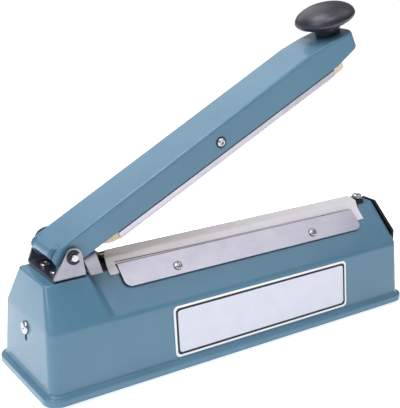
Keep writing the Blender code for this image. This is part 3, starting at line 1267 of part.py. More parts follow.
def make_inlet(body):
    """A rubber grommet, grooved over the edge of its hole."""
    neck = INLET_HOLE_RADIUS - SEAT
    inner = WALL + SEAT
    profile = [(INLET_BORE_RADIUS, -INLET_FLANGE - SEAT), (neck, -INLET_FLANGE - SEAT),
               (INLET_FLANGE_RADIUS, -SEAT - INLET_FLANGE / 3), (INLET_FLANGE_RADIUS, -SEAT),
               (neck, -SEAT), (neck, inner), (INLET_FLANGE_RADIUS, inner),
               (INLET_FLANGE_RADIUS, inner + INLET_FLANGE / 2), (neck, inner + INLET_FLANGE),
               (INLET_BORE_RADIUS, inner + INLET_FLANGE)]
    turned("cord_inlet", profile, RUBBER, body, inlet_place(), inlet_inward(), bored=True)


clear_scene()

BLUE = make_finish("blue_paint", (0.15, 0.28, 0.38), 0.35)
PLATED = make_finish("zinc_plated_sheet", (0.66, 0.65, 0.72), 0.25, 1.0)
ZINC = make_finish("galvanised_sheet", (0.55, 0.57, 0.60), 0.40, 1.0)
STEEL = make_finish("bright_screw", (0.75, 0.76, 0.80), 0.20, 1.0)
BLACK_STEEL = make_finish("black_spring_steel", (0.03, 0.03, 0.035), 0.40, 0.6)
ALUMINIUM = make_finish("aluminium", (0.62, 0.61, 0.68), 0.35, 1.0)
SILICONE = make_finish("cream_silicone", (0.68, 0.56, 0.38), 0.60)
CLOTH = make_finish("release_cloth", (0.62, 0.60, 0.58), 0.45)
BAKELITE = make_finish("black_bakelite", (0.02, 0.02, 0.03), 0.28)
PHENOLIC = make_finish("black_phenolic", (0.02, 0.02, 0.02), 0.55)
BLACK_PLASTIC = make_finish("black_plastic", (0.015, 0.015, 0.018), 0.45)
RUBBER = make_finish("black_rubber", (0.03, 0.03, 0.03), 0.80)
NICHROME = make_finish("nichrome", (0.45, 0.42, 0.40), 0.35, 1.0)
BRASS = make_finish("brass", (0.60, 0.45, 0.18), 0.30, 1.0)
COPPER = make_finish("enamelled_winding", (0.45, 0.16, 0.06), 0.40)
CORE_STEEL = make_finish("laminated_core", (0.22, 0.22, 0.24), 0.50, 0.8)
BOARD = make_finish("circuit_board", (0.05, 0.25, 0.10), 0.50)
RED = make_finish("red_button", (0.60, 0.03, 0.02), 0.40)
LAMP_RED = make_finish("red_lens", (0.70, 0.05, 0.02), 0.15)

body = make_empty("body", place=(BODY_SHIFT, 0, FOOT_STAND))
arm = make_empty("arm_axis", body, (PIN_X, 0, PIN_HEIGHT), -OPEN_ANGLE)
bar = make_empty("bar_axis", arm, (PIVOT_ALONG, 0, PIVOT_ABOVE))
rod = make_empty("rod_axis", body, (ROD_X, 0, 0))
button = make_empty("button_axis", body, (ROD_X, 0, SWITCH_TOP))
dial = make_empty("dial_axis", body, (FOOT_HALF_LENGTH + PANEL_BACK_GAP + PANEL_THICKNESS, 0, DIAL_HEIGHT))

make_housing(body)
make_cover(body)
make_feet(body)
make_bracket(body)
make_pin(body)
make_arm(arm)
make_knob(arm)
make_bar(bar)
make_rubber(bar)
make_pivot(arm)
make_platform(body)
make_element(body)
make_cloth(body)
make_strips(body)
make_terminals(body)
make_guard(body)
make_spring(body, make_rod(rod))
make_end_screw(body, make_switch(body))
make_button(button)
make_panel(body)
make_dial(dial, make_timer(body))
make_transformer(body)
make_inlet(body)

for piece in bpy.data.objects:
    if piece.type == "MESH" and not piece.hide_render:
        piece.modifiers.new("flat_faces_stay_flat", "WEIGHTED_NORMAL").keep_sharp = True
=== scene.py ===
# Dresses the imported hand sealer: enamelled housing and arm, plated sheet, glass cloth, rubber and knob.
import json
import math

import bmesh
import bpy
import numpy as np
from mathutils import Matrix, Vector

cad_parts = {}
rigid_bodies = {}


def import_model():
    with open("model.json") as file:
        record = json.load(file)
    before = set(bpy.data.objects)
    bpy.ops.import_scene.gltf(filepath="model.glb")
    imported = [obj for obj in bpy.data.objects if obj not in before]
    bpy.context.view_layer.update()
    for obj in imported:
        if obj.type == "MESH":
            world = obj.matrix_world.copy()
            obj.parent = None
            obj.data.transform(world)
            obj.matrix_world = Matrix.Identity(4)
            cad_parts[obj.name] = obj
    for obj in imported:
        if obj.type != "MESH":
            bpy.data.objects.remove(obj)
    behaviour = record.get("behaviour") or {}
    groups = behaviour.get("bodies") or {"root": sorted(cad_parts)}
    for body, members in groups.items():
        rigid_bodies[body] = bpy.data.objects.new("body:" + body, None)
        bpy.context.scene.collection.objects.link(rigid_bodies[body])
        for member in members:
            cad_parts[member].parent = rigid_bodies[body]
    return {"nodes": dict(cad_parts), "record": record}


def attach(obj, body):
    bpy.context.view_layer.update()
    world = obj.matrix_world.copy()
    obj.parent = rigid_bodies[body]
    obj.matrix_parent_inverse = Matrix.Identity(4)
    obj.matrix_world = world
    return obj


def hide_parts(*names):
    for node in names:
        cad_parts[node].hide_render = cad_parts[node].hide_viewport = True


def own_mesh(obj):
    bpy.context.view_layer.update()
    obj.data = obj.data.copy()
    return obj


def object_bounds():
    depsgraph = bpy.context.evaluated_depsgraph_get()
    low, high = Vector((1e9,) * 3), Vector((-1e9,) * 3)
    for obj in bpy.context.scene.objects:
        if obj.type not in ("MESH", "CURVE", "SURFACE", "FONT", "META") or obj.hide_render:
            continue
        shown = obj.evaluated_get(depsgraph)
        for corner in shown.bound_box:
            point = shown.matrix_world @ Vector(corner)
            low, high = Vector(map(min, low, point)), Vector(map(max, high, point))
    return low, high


for leftover in list(bpy.data.objects):  # the startup cube, lamp and camera
    bpy.data.objects.remove(leftover, do_unlink=True)

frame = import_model()
cadNodes = frame["nodes"]
cadBox = [list(corner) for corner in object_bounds()]
bodyOf = {node: body for body, members in frame["record"]["behaviour"]["bodies"].items() for node in members}
slotOf = {row["node"]: row["material_slot"] for row in frame["record"]["subparts"]}
print("loaded", len(cadNodes), "solids")

mm = 0.001
bodyShift = np.array([-0.00615, 0.0, 0.0025])  # from the housing's own zero to the shared frame
hinge = {"pin": np.array([-0.13295, 0.0, 0.0939]), "open": math.radians(26.4)}
quarter = math.pi / 2
up, down, toRight, toLeft, toBack = (0, 0, 1), (0, 0, -1), (1, 0, 0), (-1, 0, 0), (0, 1, 0)
sides = (("front", -1), ("back", 1))
fourCorners = ((-1, -1), (-1, 1), (1, -1), (1, 1))

# camera and light
cameraSetup = {"place": (-0.35654, -0.51057, 0.30261), "yaw": 33.38, "pitch": 17.98, "roll": -0.12,
               "lens": 77.33, "sensor": 36}
lightSetup = {  # place and size in m, watts
    "leftHigh": ((-0.85, 0.00, 0.95), (0.5, 0.5), 3.9),
    "overhead": ((-0.20, 0.25, 1.10), (0.4, 0.4), 4.2),
    "backHigh": ((0.20, 1.00, 0.95), (0.9, 0.9), 2.8),
    "rightHigh": ((0.50, -0.25, 1.05), (0.8, 0.8), 2.7),
    "leftEdge": ((-0.93, -0.31, 0.63), (0.20, 0.28), 1.9),
    "frontHigh": ((-0.25, -0.36, 1.12), (0.5, 0.5), 4.2),
}
lightAim = (-0.03, 0.0, 0.1)
worldSetup = {"colour": "#FFFFFF", "strength": 0.29}
floorSetup = {"half": 25.0, "colour": "#FDFDFD", "glow": 0.74, "rough": 0.9}


def addObject(name, data):
    made = bpy.data.objects.new(name, data)
    bpy.context.scene.collection.objects.link(made)
    return made


def linear(hexText):  # an sRGB hex value as linear light
    parts = np.array([int(hexText[i:i + 2], 16) for i in (1, 3, 5)]) / 255
    return (*np.where(parts <= 0.04045, parts / 12.92, ((parts + 0.055) / 1.055) ** 2.4), 1.0)


def makeCamera(setup):  # rolled about its own line of sight, then tipped down by pitch and turned by yaw about Z
    yaw, pitch, roll = (math.radians(setup[key]) for key in ("yaw", "pitch", "roll"))
    camera = addObject("camera", bpy.data.cameras.new("camera"))
    camera.matrix_world = (Matrix.Translation(setup["place"]) @ Matrix.Rotation(-yaw, 4, "Z")
                           @ Matrix.Rotation(quarter - pitch, 4, "X") @ Matrix.Rotation(roll, 4, "Z"))
    camera.data.sensor_width = camera.data.sensor_height = setup["sensor"]
    camera.data.lens = setup["lens"]
    camera.data.clip_start, camera.data.clip_end = 0.01, 60
    bpy.context.scene.camera = camera


def makeLights(setup):
    for name, (place, size, watts) in setup.items():
        lamp = bpy.data.lights.new(name, "AREA")
        lamp.shape = "RECTANGLE"
        lamp.size, lamp.size_y = size
        lamp.energy = watts
        holder = addObject(name, lamp)
        holder.location = place
        away = Vector(place) - Vector(lightAim)
        holder.rotation_euler = away.to_track_quat("Z", "Y").to_euler()
    world = bpy.data.worlds.new("studio")
    world.use_nodes = True
    sky = world.node_tree.nodes["Background"]
    sky.inputs["Color"].default_value = linear(worldSetup["colour"])
    sky.inputs["Strength"].default_value = worldSetup["strength"]
    bpy.context.scene.world = world
    bpy.context.scene.view_settings.view_transform = "Standard"


# materials
def addNode(tree, kind, settings=None, links=None):  # lower-case settings are the node's, the rest its sockets
    node = tree.nodes.new("ShaderNode" + kind)
    for name, value in (settings or {}).items():
        if isinstance(name, str) and name[0].islower():
            setattr(node, name, value)
        else:
            node.inputs[name].default_value = value
    for name, source in (links or {}).items():
        tree.links.new(source, node.inputs[name])
    return node.outputs


def startMaterial(name):
    material = bpy.data.materials.new(name)
    material.use_nodes = True
    material.node_tree.nodes.clear()
    return material, material.node_tree, addNode(material.node_tree, "TexCoord")["Object"]


def endMaterial(tree, settings, links):
    shader = addNode(tree, "BsdfPrincipled", settings, links)
    addNode(tree, "OutputMaterial", None, {"Surface": shader["BSDF"]})


def perMetre(sizeMm):  # a noise scale that makes its blobs this many mm across
    return 1 / (sizeMm * mm)


def span(low, high, start=0.0, end=1.0):  # a range node's settings
    return {"From Min": low, "From Max": high, "To Min": start, "To Max": end}


def patches(tree, spot, scale, detail, *levels):  # soft patches, drawn from one range of values to another
    cloud = addNode(tree, "TexNoise", {"Scale": scale, "Detail": detail}, {"Vector": spot})
    return addNode(tree, "MapRange", span(*levels), {"Value": cloud["Fac"]})["Result"]


def clouded(tree, spot, scale, detail, light, dark):  # two close colours mixed in soft patches
    return addNode(tree, "Mix", {"data_type": "RGBA", 6: linear(light), 7: linear(dark)},
                   {0: patches(tree, spot, scale, detail, 0.35, 0.65)})[2]


def grained(tree, spot, sizeMm, detail, strength, highMm, under=None):  # a fine relief, alone or over another one
    grain = addNode(tree, "TexNoise", {"Scale": perMetre(sizeMm), "Detail": detail}, {"Vector": spot})
    return addNode(tree, "Bump", {"Strength": strength, "Distance": highMm * mm},
                   {"Height": grain["Fac"], **({"Normal": under} if under else {})})["Normal"]


paintLook = {"light": "#4E758D", "dark": "#497088", "tintMm": 45, "waveMm": 26, "waveHigh": 0.05,
             "peelMm": 1.7, "peelHigh": 0.004, "roughMm": 8, "rough": (0.28, 0.33), "dust": "#4B6476", "dustMm": 1.1,
             "dustShare": 0.22, "coat": {"IOR": 1.42, "Coat Weight": 0.15, "Coat Roughness": 0.12}}


def makePaint(look):  # stoving enamel on a casting: even colour, faint waves and orange peel, a soft gloss
    material, tree, spot = startMaterial("stovingEnamel")
    tint = clouded(tree, spot, perMetre(look["tintMm"]), 2.0, look["light"], look["dark"])
    dust = patches(tree, spot, perMetre(look["dustMm"]), 1.0, 0.80, 0.88, 0.0, look["dustShare"])
    colour = addNode(tree, "Mix", {"data_type": "RGBA", 7: linear(look["dust"])}, {0: dust, 6: tint})[2]
    wave = grained(tree, spot, look["waveMm"], 1.0, 0.5, look["waveHigh"])
    relief = grained(tree, spot, look["peelMm"], 2.0, 0.6, look["peelHigh"], wave)
    rough = patches(tree, spot, perMetre(look["roughMm"]), 2.0, 0.35, 0.65, *look["rough"])
    endMaterial(tree, look["coat"], {"Base Color": colour, "Roughness": rough, "Normal": relief,
                                     "Coat Normal": relief})
    return material


metalLooks = {  # light, dark, roughness, how the marks stretch, their size and height in mm, how metallic
    # bright nickel plate on rolled sheet: pale, faintly violet, long faint rolling lines
    "plated_sheet": ("nickelPlatedSteel", "#B0AEBA", "#AAA8B5", (0.27, 0.31), (0.12, 1, 1), 1.6, 0.0006, 1.0),
    # the same plate, greyer and duller: painted shade on the hinge bracket, which sits under the arm
    "shaded_plate": ("shadedNickelPlate", "#92909A", "#888691", (0.32, 0.40), (0.12, 1, 1), 1.6, 0.0006, 1.0),
    # zinc-dipped sheet: grey with soft patches
    "zinc_sheet": ("zincDippedSteel", "#B9BCC2", "#9DA1A8", (0.34, 0.48), (1, 1, 1), 3.0, 0.004, 1.0),
    # bright plated screws and pins: a soft mirror with fine turning marks
    "bright_steel": ("brightPlatedSteel", "#BFC0C6", "#ABADB3", (0.20, 0.30), (1, 1, 1), 0.5, 0.002, 1.0),
    # chemically blackened spring steel: satin black
    "black_steel": ("blackOxideSteel", "#19191D", "#26262B", (0.32, 0.45), (1, 1, 1), 0.8, 0.004, 0.6),
    # extruded aluminium: pale satin with draw lines along it
    "aluminium": ("extrudedAluminium", "#B8B6BF", "#AEACB6", (0.28, 0.38), (0.05, 1, 1), 0.4, 0.004, 1.0),
    # resistance ribbon: warm grey, cold rolled
    "nichrome": ("coldRolledNichrome", "#9A938C", "#7C756F", (0.30, 0.42), (0.1, 1, 1), 0.4, 0.002, 1.0),
    # rolled brass tab, tarnished by heat: dull brown
    "brass": ("tarnishedBrass", "#7C6746", "#66543A", (0.34, 0.46), (0.1, 1, 1), 0.4, 0.003, 1.0),
    # stacked core plates under varnish: dark lines 0.5 mm apart, drawn at 1 mm so that they show
    "core_steel": ("varnishedCoreSteel", "#6F6F72", "#4C4C50", (0.40, 0.58), (0.1, 6, 0.1), 6.0, 0.06, 0.8),
}


def makeMetal(name, light, dark, rough, stretch, sizeMm, highMm, metallic):  # rolling or drawing lines in a gloss
    material, tree, spot = startMaterial(name)
    drawn = addNode(tree, "Mapping", {"Scale": tuple(s * perMetre(sizeMm) for s in stretch)}, {"Vector": spot})
    lines = addNode(tree, "TexNoise", {"Scale": 1.0, "Detail": 3.0}, {"Vector": drawn["Vector"]})["Fac"]
    gloss = addNode(tree, "MapRange", span(0.3, 0.7, *rough), {"Value": lines})
    relief = addNode(tree, "Bump", {"Strength": 0.5, "Distance": highMm * mm}, {"Height": lines})
    endMaterial(tree, {"Metallic": metallic}, {"Base Color": clouded(tree, spot, perMetre(14), 3.0, light, dark),
                                               "Roughness": gloss["Result"], "Normal": relief["Normal"]})
    return material


mouldedLooks = {  # light, dark, roughness, texture's size and height in mm, and what else its shader sets
    # extruded silicone: warm cream, waxy, faintly see-through
    "cream_silicone": ("extrudedSilicone", "#E2D1B9", "#D8C5AB", (0.46, 0.58), 0.8, 0.006,
                       {"Subsurface Weight": 0.1, "Subsurface Scale": 0.002}),
    # polished phenolic moulding: near black with a violet cast and a broad soft sheen
    "black_knob": ("polishedPhenolic", "#1B1A2A", "#161524", (0.38, 0.44), 2.6, 0.002,
                   {"Coat Weight": 0.12, "Coat Roughness": 0.34}),
    # cloth-filled phenolic board: dull black
    "black_phenolic": ("filledPhenolic", "#0E0E10", "#141314", (0.52, 0.62), 0.5, 0.01,
                       {"Specular IOR Level": 0.25}),
    # textured ABS moulding: black with a fine spark grain
    "black_plastic": ("sparkTexturedAbs", "#0C0C0E", "#121215", (0.46, 0.56), 0.45, 0.012,
                      {"Specular IOR Level": 0.3}),
    # moulded rubber: dull dark grey
    "black_rubber": ("mouldedRubber", "#1A1A1A", "#232322", (0.68, 0.80), 0.6, 0.01, {}),
    # enamelled copper wire: dark copper with a varnish gloss
    "winding": ("enamelledWire", "#9A5327", "#7A3C19", (0.26, 0.40), 0.7, 0.004, {"Coat Weight": 0.4}),
    # fibreglass board under solder mask: green, glossy
    "circuit_board": ("solderMask", "#1E5B34", "#184C2B", (0.28, 0.40), 0.6, 0.008, {}),
    # nylon switch button: strong red, satin
    "red_plastic": ("mouldedNylon", "#B3231C", "#A31D17", (0.35, 0.45), 0.5, 0.004, {}),
    # clear red acrylic lens: lets some light in
    "red_lens": ("tintedAcrylic", "#C8281C", "#B92218", (0.06, 0.10), 0.8, 0.001,
                 {"Transmission Weight": 0.4, "IOR": 1.49}),
    # face of the front plate: pale lilac lacquer
    "platePrint": ("lacqueredPlateFace", "#C9CBD9", "#C5C7D6", (0.34, 0.42), 1.2, 0.002, {}),
    # bare margin of the front plate: white lacquer
    "plateWhite": ("whitePlateLacquer", "#E1E3E8", "#DBDDE5", (0.32, 0.40), 1.2, 0.002, {}),
    # printing ink: near black, slightly dull
    "blackInk": ("screenInk", "#121118", "#18171E", (0.55, 0.65), 0.8, 0.001, {}),
    # marking ink on the timer panel: off white
    "whiteInk": ("whiteScreenInk", "#E6E6E2", "#DCDCD8", (0.50, 0.60), 0.8, 0.002, {}),
}


def makeMoulded(name, light, dark, rough, sizeMm, highMm, settings):  # an even body with a fine grain
    material, tree, spot = startMaterial(name)
    endMaterial(tree, settings, {"Base Color": clouded(tree, spot, perMetre(9), 3.0, light, dark),
                                 "Roughness": patches(tree, spot, perMetre(3.5), 2.0, 0.35, 0.65, *rough),
                                 "Normal": grained(tree, spot, sizeMm, 2.0, 0.6, highMm)})
    return material


# the greyer colour towards the hinge end is painted shade from the arm above the cloth
clothLook = {"threadMm": 0.9, "threadHigh": 0.03, "light": "#DAD8DE", "dark": "#D2CFD6", "gap": "#C0BCC0",
             "paintedArmShade": "#CBC3C4", "paintedArmShadeFrom": 20.0, "paintedArmShadeTo": -100.0, "paintedArmShadeShare": 0.7, "stainMm": 22}


def makeCloth(look):  # coated glass cloth: a tight plain weave under a slick skin; threads drawn twice real size
    material, tree, _ = startMaterial("coatedGlassCloth")
    flat = addNode(tree, "UVMap", {"uv_map": "weaveMm"})["UV"]
    waves = [addNode(tree, "TexWave", {"bands_direction": axis, "Scale": 0.314 / look["threadMm"],
                                       "Distortion": 0.4, "Detail": 1.0}, {"Vector": flat})["Fac"]
             for axis in ("X", "Y")]
    weave = addNode(tree, "Math", {"operation": "MAXIMUM"}, {0: waves[0], 1: waves[1]})["Value"]
    deep = addNode(tree, "MapRange", span(0.9, 0.2, 0.0, 0.35), {"Value": weave})
    tint = clouded(tree, flat, 1 / look["stainMm"], 3.0, look["light"], look["dark"])
    woven = addNode(tree, "Mix", {"data_type": "RGBA", 7: linear(look["gap"])}, {0: deep["Result"], 6: tint})
    along = addNode(tree, "SeparateXYZ", None, {"Vector": flat})["X"]  # greyer near the hinge: painted shade, the arm's shadow on the cloth's left end
    paintedArmShade = addNode(tree, "MapRange", span(look["paintedArmShadeFrom"], look["paintedArmShadeTo"], 0.0, look["paintedArmShadeShare"]), {"Value": along})
    colour = addNode(tree, "Mix", {"data_type": "RGBA", 7: linear(look["paintedArmShade"])}, {0: paintedArmShade["Result"], 6: woven[2]})
    relief = addNode(tree, "Bump", {"Strength": 0.5, "Distance": look["threadHigh"] * mm}, {"Height": weave})
    endMaterial(tree, {"Roughness": 0.36}, {"Base Color": colour[2], "Normal": relief["Normal"]})
    return material


# mesh tools
def bodySpace(points):  # mm from the middle of the housing's bottom edge, to the shared frame
    return np.asarray(points) * mm + bodyShift


def armSpace(points):  # mm along the arm from its pin, across and up, to the shared frame with the arm open
    c, s = math.cos(hinge["open"]), math.sin(hinge["open"])
    return np.asarray(points) * mm @ np.array([[c, 0, s], [0, 1, 0], [-s, 0, c]]) + hinge["pin"]


def soften(mesh, sharpest):  # smooth faces, creased where they turn by more than this angle
    mesh.shade_smooth()
    mesh.set_sharp_from_angle(angle=math.radians(sharpest))


def skin(name, grid, closedRows=False, sharpest=38):
    # a closed mesh from a grid of points whose columns close: doubled points merge, open ends get a cap
    rows, columns = grid.shape[:2]
    r, c = np.arange(rows if closedRows else rows - 1)[:, None], np.arange(columns)[None, :]
    right, below = (c + 1) % columns, (r + 1) % rows
    quads = [r * columns + c, r * columns + right, below * columns + right, below * columns + c]
    mesh = bpy.data.meshes.new(name)
    mesh.from_pydata(grid.reshape(-1, 3).tolist(), [], np.stack(quads, -1).reshape(-1, 4).tolist())
    work = bmesh.new()
    work.from_mesh(mesh)
    bmesh.ops.remove_doubles(work, verts=work.verts, dist=1e-6)
    openEdges = [edge for edge in work.edges if edge.is_boundary]
    if openEdges:
        bmesh.ops.holes_fill(work, edges=openEdges, sides=0)
    bmesh.ops.recalc_face_normals(work, faces=work.faces)
    work.to_mesh(mesh)
    work.free()
    soften(mesh, sharpest)
    return mesh


stoodFor = set()  # solids that a finer piece stands for


def placePiece(name, mesh, body, slotName, *replaced):
    piece = addObject(name, mesh)
    mesh.materials.clear()
    mesh.materials.append(finishes[slotName])
    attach(piece, body)
    if replaced:
        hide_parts(*replaced)
        stoodFor.update(replaced)
    return piece


def addPiece(name, grid, body, slotName, space=bodySpace, **kept):  # a new piece that stands for no solid
    return placePiece(name, skin(name, space(grid), **kept), body, slotName)


def standFor(node, grid, space=bodySpace, **kept):  # a finer piece in a solid's place, on its body, in its finish
    return placePiece(node + "_fine", skin(node + "_fine", space(grid), **kept), bodyOf[node], slotOf[node], node)


def easeEdges(piece, widthMm, steps=2, sharpest=32):  # a small round on every sharp edge, so that it takes light
    soften(piece.data, sharpest)
    edge = piece.modifiers.new("edgeRound", "BEVEL")
    edge.width, edge.segments = widthMm * mm, steps
    edge.limit_method, edge.angle_limit = "ANGLE", math.radians(sharpest)
    edge.harden_normals = True


def evaluated(piece):  # its mesh after all that changes it
    return bpy.data.meshes.new_from_object(piece.evaluated_get(bpy.context.evaluated_depsgraph_get()))


def carve(piece, tools, space=bodySpace, operation="DIFFERENCE"):  # takes grids' solids out of a piece, or joins them
    made = [addObject("tool", skin("tool", space(grid))) for grid in tools]
    for tool in made:
        step = piece.modifiers.new("carve", "BOOLEAN")
        step.operation, step.object = operation, tool
    solved = evaluated(piece)
    piece.modifiers.clear()
    piece.data = solved
    for tool in made:
        bpy.data.objects.remove(tool, do_unlink=True)


def meshPoints(mesh):
    points = np.empty(len(mesh.vertices) * 3, np.float32)
    mesh.vertices.foreach_get("co", points)
    return points.reshape(-1, 3)


def cornerPoints(mesh):  # the vertex at each corner of each face
    corners = np.empty(len(mesh.loops), np.int32)
    mesh.loops.foreach_get("vertex_index", corners)
    return corners


def mergedMesh(node):  # a copy of a node's loose triangles, sewn into one skin with its flat splits gone
    points, corners = meshPoints(cadNodes[node].data), cornerPoints(cadNodes[node].data)
    keys = np.round(points / 2e-6).astype(np.int64)
    _, first, index = np.unique(keys, axis=0, return_index=True, return_inverse=True)
    a, b, c = faces = index.reshape(-1)[corners].reshape(-1, 3).T
    whole = (a != b) & (b != c) & (a != c)
    mesh = bpy.data.meshes.new(node + "_eased")
    mesh.from_pydata(points[first].tolist(), [], faces.T[whole].tolist())
    work = bmesh.new()
    work.from_mesh(mesh)
    bmesh.ops.dissolve_limit(work, angle_limit=math.radians(0.6), verts=work.verts, edges=work.edges)
    work.to_mesh(mesh)
    work.free()
    return mesh


def ramp(values, start, end):  # 0 at and before the start, 1 at and past the end, even between them
    return np.clip((values - start) / (end - start), 0, 1)


def stations(stops, counts):  # places spread evenly between stops, each stop once
    return np.concatenate([np.linspace(start, end, count)[min(number, 1):]
                           for number, (start, end, count) in enumerate(zip(stops, stops[1:], counts))])


def eased(share):  # a share that leaves 0 and meets 1 softly
    return share ** 2 * (3 - 2 * share)


def unit(vectors):
    return vectors / np.linalg.norm(vectors, axis=-1, keepdims=True)


def roundPath(path, radii, steps=8):  # each inner corner of a path becomes an arc that touches both its edges
    path, radii = np.array(path, float), np.broadcast_to(np.array(radii, float), len(path) - 2)
    back, ahead = unit(path[:-2] - path[1:-1]), unit(path[2:] - path[1:-1])
    half = np.arccos(np.clip((back * ahead).sum(1), -1, 1)) / 2
    centre = path[1:-1] + unit(back + ahead) * (radii / np.sin(half))[:, None]
    reach = (radii / np.tan(half))[:, None]
    start, end = path[1:-1] + back * reach - centre, path[1:-1] + ahead * reach - centre
    share = np.linspace(0, 1, steps + 1)[None, :, None]
    spoke = unit(start[:, None] * (1 - share) + end[:, None] * share) * radii[:, None, None]
    return np.vstack([path[:1], (centre[:, None] + spoke).reshape(-1, 2), path[-1:]])


def offsetPath(path, distance):  # a path moved to its left, each point along the middle of its edges' normals
    path = np.array(path, float)
    edges = unit(np.diff(path, axis=0))
    side = np.stack([-edges[:, 1], edges[:, 0]], 1)
    before, after = np.vstack([side[:1], side]), np.vstack([side, side[-1:]])
    middle = unit(before + after)
    return path + middle * (distance / (middle * before).sum(1))[:, None]


def mirrored(half):  # half of an outline, and its mirror image from the far end back
    return list(half) + [(-a, b) for a, b in half[::-1]]


def turnedGrid(profile, columns=48):  # radius and height pairs carried round an axis
    profile = np.array(profile, float)
    turn = np.linspace(0, 2 * math.pi, columns, endpoint=False)[None, :]
    radius, height = profile[:, :1], profile[:, 1:]
    return np.stack([radius * np.cos(turn), radius * np.sin(turn), height + 0 * turn], -1)


def aimed(grid, place, outward, spin=0.0):  # a grid made about Z, set at a place with Z along outward
    turn = np.array(Vector((0, 0, 1)).rotation_difference(Vector(outward)).to_matrix())
    c, s = math.cos(spin), math.sin(spin)
    return grid @ np.array([[c, s, 0], [-s, c, 0], [0, 0, 1]]) @ turn.T + np.array(place)


def drawnOut(outline, low, high, placeAt=np.asarray):  # an outline of (a, b) pairs drawn out between two levels
    outline = np.array(outline, float)
    return placeAt(np.stack([np.column_stack([outline, np.full(len(outline), level)]) for level in (low, high)]))


def alongX(points):
    return points[..., [2, 0, 1]]


def alongY(points):
    return points[..., [0, 2, 1]]


def arcPoints(centre, radius, start, end, steps):
    turn = np.linspace(start, end, steps + 1)
    return np.stack([centre[0] + radius * np.cos(turn), centre[1] + radius * np.sin(turn)], 1)


def roundedBox(halfA, halfB, radius, steps=8):  # a rectangle's outline with round corners
    return np.vstack([arcPoints((sa * (halfA - radius), sb * (halfB - radius)), radius, number * quarter,
                                number * quarter + quarter, steps)
                      for number, (sa, sb) in enumerate(((1, 1), (-1, 1), (-1, -1), (1, -1)))])


def rod(radius, place, outward, low, high, columns=40):  # a plain cylinder between two heights over a place
    return aimed(turnedGrid([(0, low), (radius, low), (radius, high), (0, high)], columns), place, outward)


# the build
makeCamera(cameraSetup)
makeLights(lightSetup)
finishes = {"blue_paint": makePaint(paintLook), "release_cloth": makeCloth(clothLook)}
finishes.update({slotName: makeMetal(*look) for slotName, look in metalLooks.items()})
finishes.update({slotName: makeMoulded(*look) for slotName, look in mouldedLooks.items()})
print("camera, lights and", len(finishes), "finishes ready")

roof = {"ridge": 75.7, "ridgeHalf": 6.95, "kink": 48.5, "kinkHalf": 37.9}
roof["slope"] = math.atan2(roof["ridge"] - roof["kink"], roof["kinkHalf"] - roof["ridgeHalf"])


def roofHeight(y):
    return roof["ridge"] - np.maximum(0.0, np.abs(y) - roof["ridgeHalf"]) * math.tan(roof["slope"])


def roofNormal(side, sign=1):
    return 0, sign * side * math.sin(roof["slope"]), sign * math.cos(roof["slope"])


def onRoof(x, y, out, side):  # over a roof slope: y is measured on the slope itself
    tilt = roof["slope"]
    return np.stack([x + 0 * y, side * (y + out * math.sin(tilt)), roofHeight(y) + out * math.cos(tilt)], -1)


housing = {"half": 155.8, "footHalf": 41.65, "foot": 8.1, "lipHigh": 5.5, "lipReach": 4.2, "lipRound": 1.6,
           "lipEase": 0.35, "corner": 6.8, "ridgeCorner": 3.8, "kinkRound": 2.6, "ridgeRound": 1.2, "wall": 1.8,
           "leftKink": -153.9, "leftRidge": -148.4, "rightKink": 155.2, "rightRidge": 154.8, "pedestal": 22.3,
           "creaseTop": -114.0, "creaseFoot": -107.0, "crease": 8.0, "cornerSteps": 16, "creaseSteps": 14,
           "lean": 0.0148, "draft": 0.0926}
boss = {"radius": 4.4, "wallAt": 40.3, "low": 2.5, "high": 16.0, "bore": 13.0}
holes = {"screw": 1.8, "rod": 2.1, "bush": 4.7, "lamp": 3.9, "inlet": 5.4, "slotHalf": (1.9, 6.75), "slotRound": 1.75,
         "slotCut": (-160, -150)}
places = {"bracketScrews": (-134.6, 8.2), "guardScrews": (-112.8, 8.2), "rod": -113.4, "terminals": (-107.2, 142.5),
          "stripScrews": (-45.9, 78.4), "stripScrewY": 18.4, "endScrew": 40.0, "slot": 37.0, "dial": 38.02,
          "lamp": 60.0, "panelScrews": (23.5, 19.0), "inlet": (118.0, 24.0), "feet": (136.8, 31.85),
          "coreScrews": (31.5, 88.5), "pin": (-126.8, 91.4)}


def housingRing(high, left, right, half, pedestal, corner, crease):  # one level, left-front corner round by the right
    turn = np.linspace(0, quarter, housing["cornerSteps"] + 1)
    share = np.linspace(0, 1, housing["creaseSteps"] + 1)
    x = np.concatenate([left + corner - corner * np.cos(turn), crease + housing["crease"] * (share - 0.5),
                        right - corner + corner * np.sin(turn)])
    y = np.concatenate([pedestal - corner + corner * np.sin(turn),
                        pedestal + (half - pedestal) * eased(share),
                        half - corner + corner * np.cos(turn)])
    ring = np.stack([x, -y, np.full_like(x, high)], 1)
    return np.vstack([ring, ring[::-1] * (1, -1, 1)])


def housingLevels(inset):  # rings at the wall's foot, the kink and the ridge
    h = housing
    walls = [(h["footHalf"], h["foot"]), (roof["kinkHalf"], roof["kink"]), (roof["ridgeHalf"], roof["ridge"]),
             (0, roof["ridge"])]
    (foot, _), (kink, kinkHigh), (ridge, ridgeHigh), _ = offsetPath(walls, inset)
    corner = h["corner"] - inset
    return (housingRing(h["foot"], inset - h["half"], h["half"] - inset, foot, foot, corner, h["creaseFoot"]),
            housingRing(kinkHigh, h["leftKink"] + inset, h["rightKink"] - inset, kink, kink, corner, h["creaseFoot"]),
            housingRing(ridgeHigh, h["leftRidge"] + inset, h["rightRidge"] - inset, ridge, h["pedestal"] - inset,
                        h["ridgeCorner"] - inset, h["creaseTop"]))


def bendRings(before, corner, after, reach, steps):  # each point runs a quadratic curve round its corner
    start, end = corner + unit(before - corner) * reach, corner + unit(after - corner) * reach
    share = np.linspace(0, 1, steps + 1)[:, None, None]
    return (1 - share) ** 2 * start + 2 * share * (1 - share) * corner + share ** 2 * end


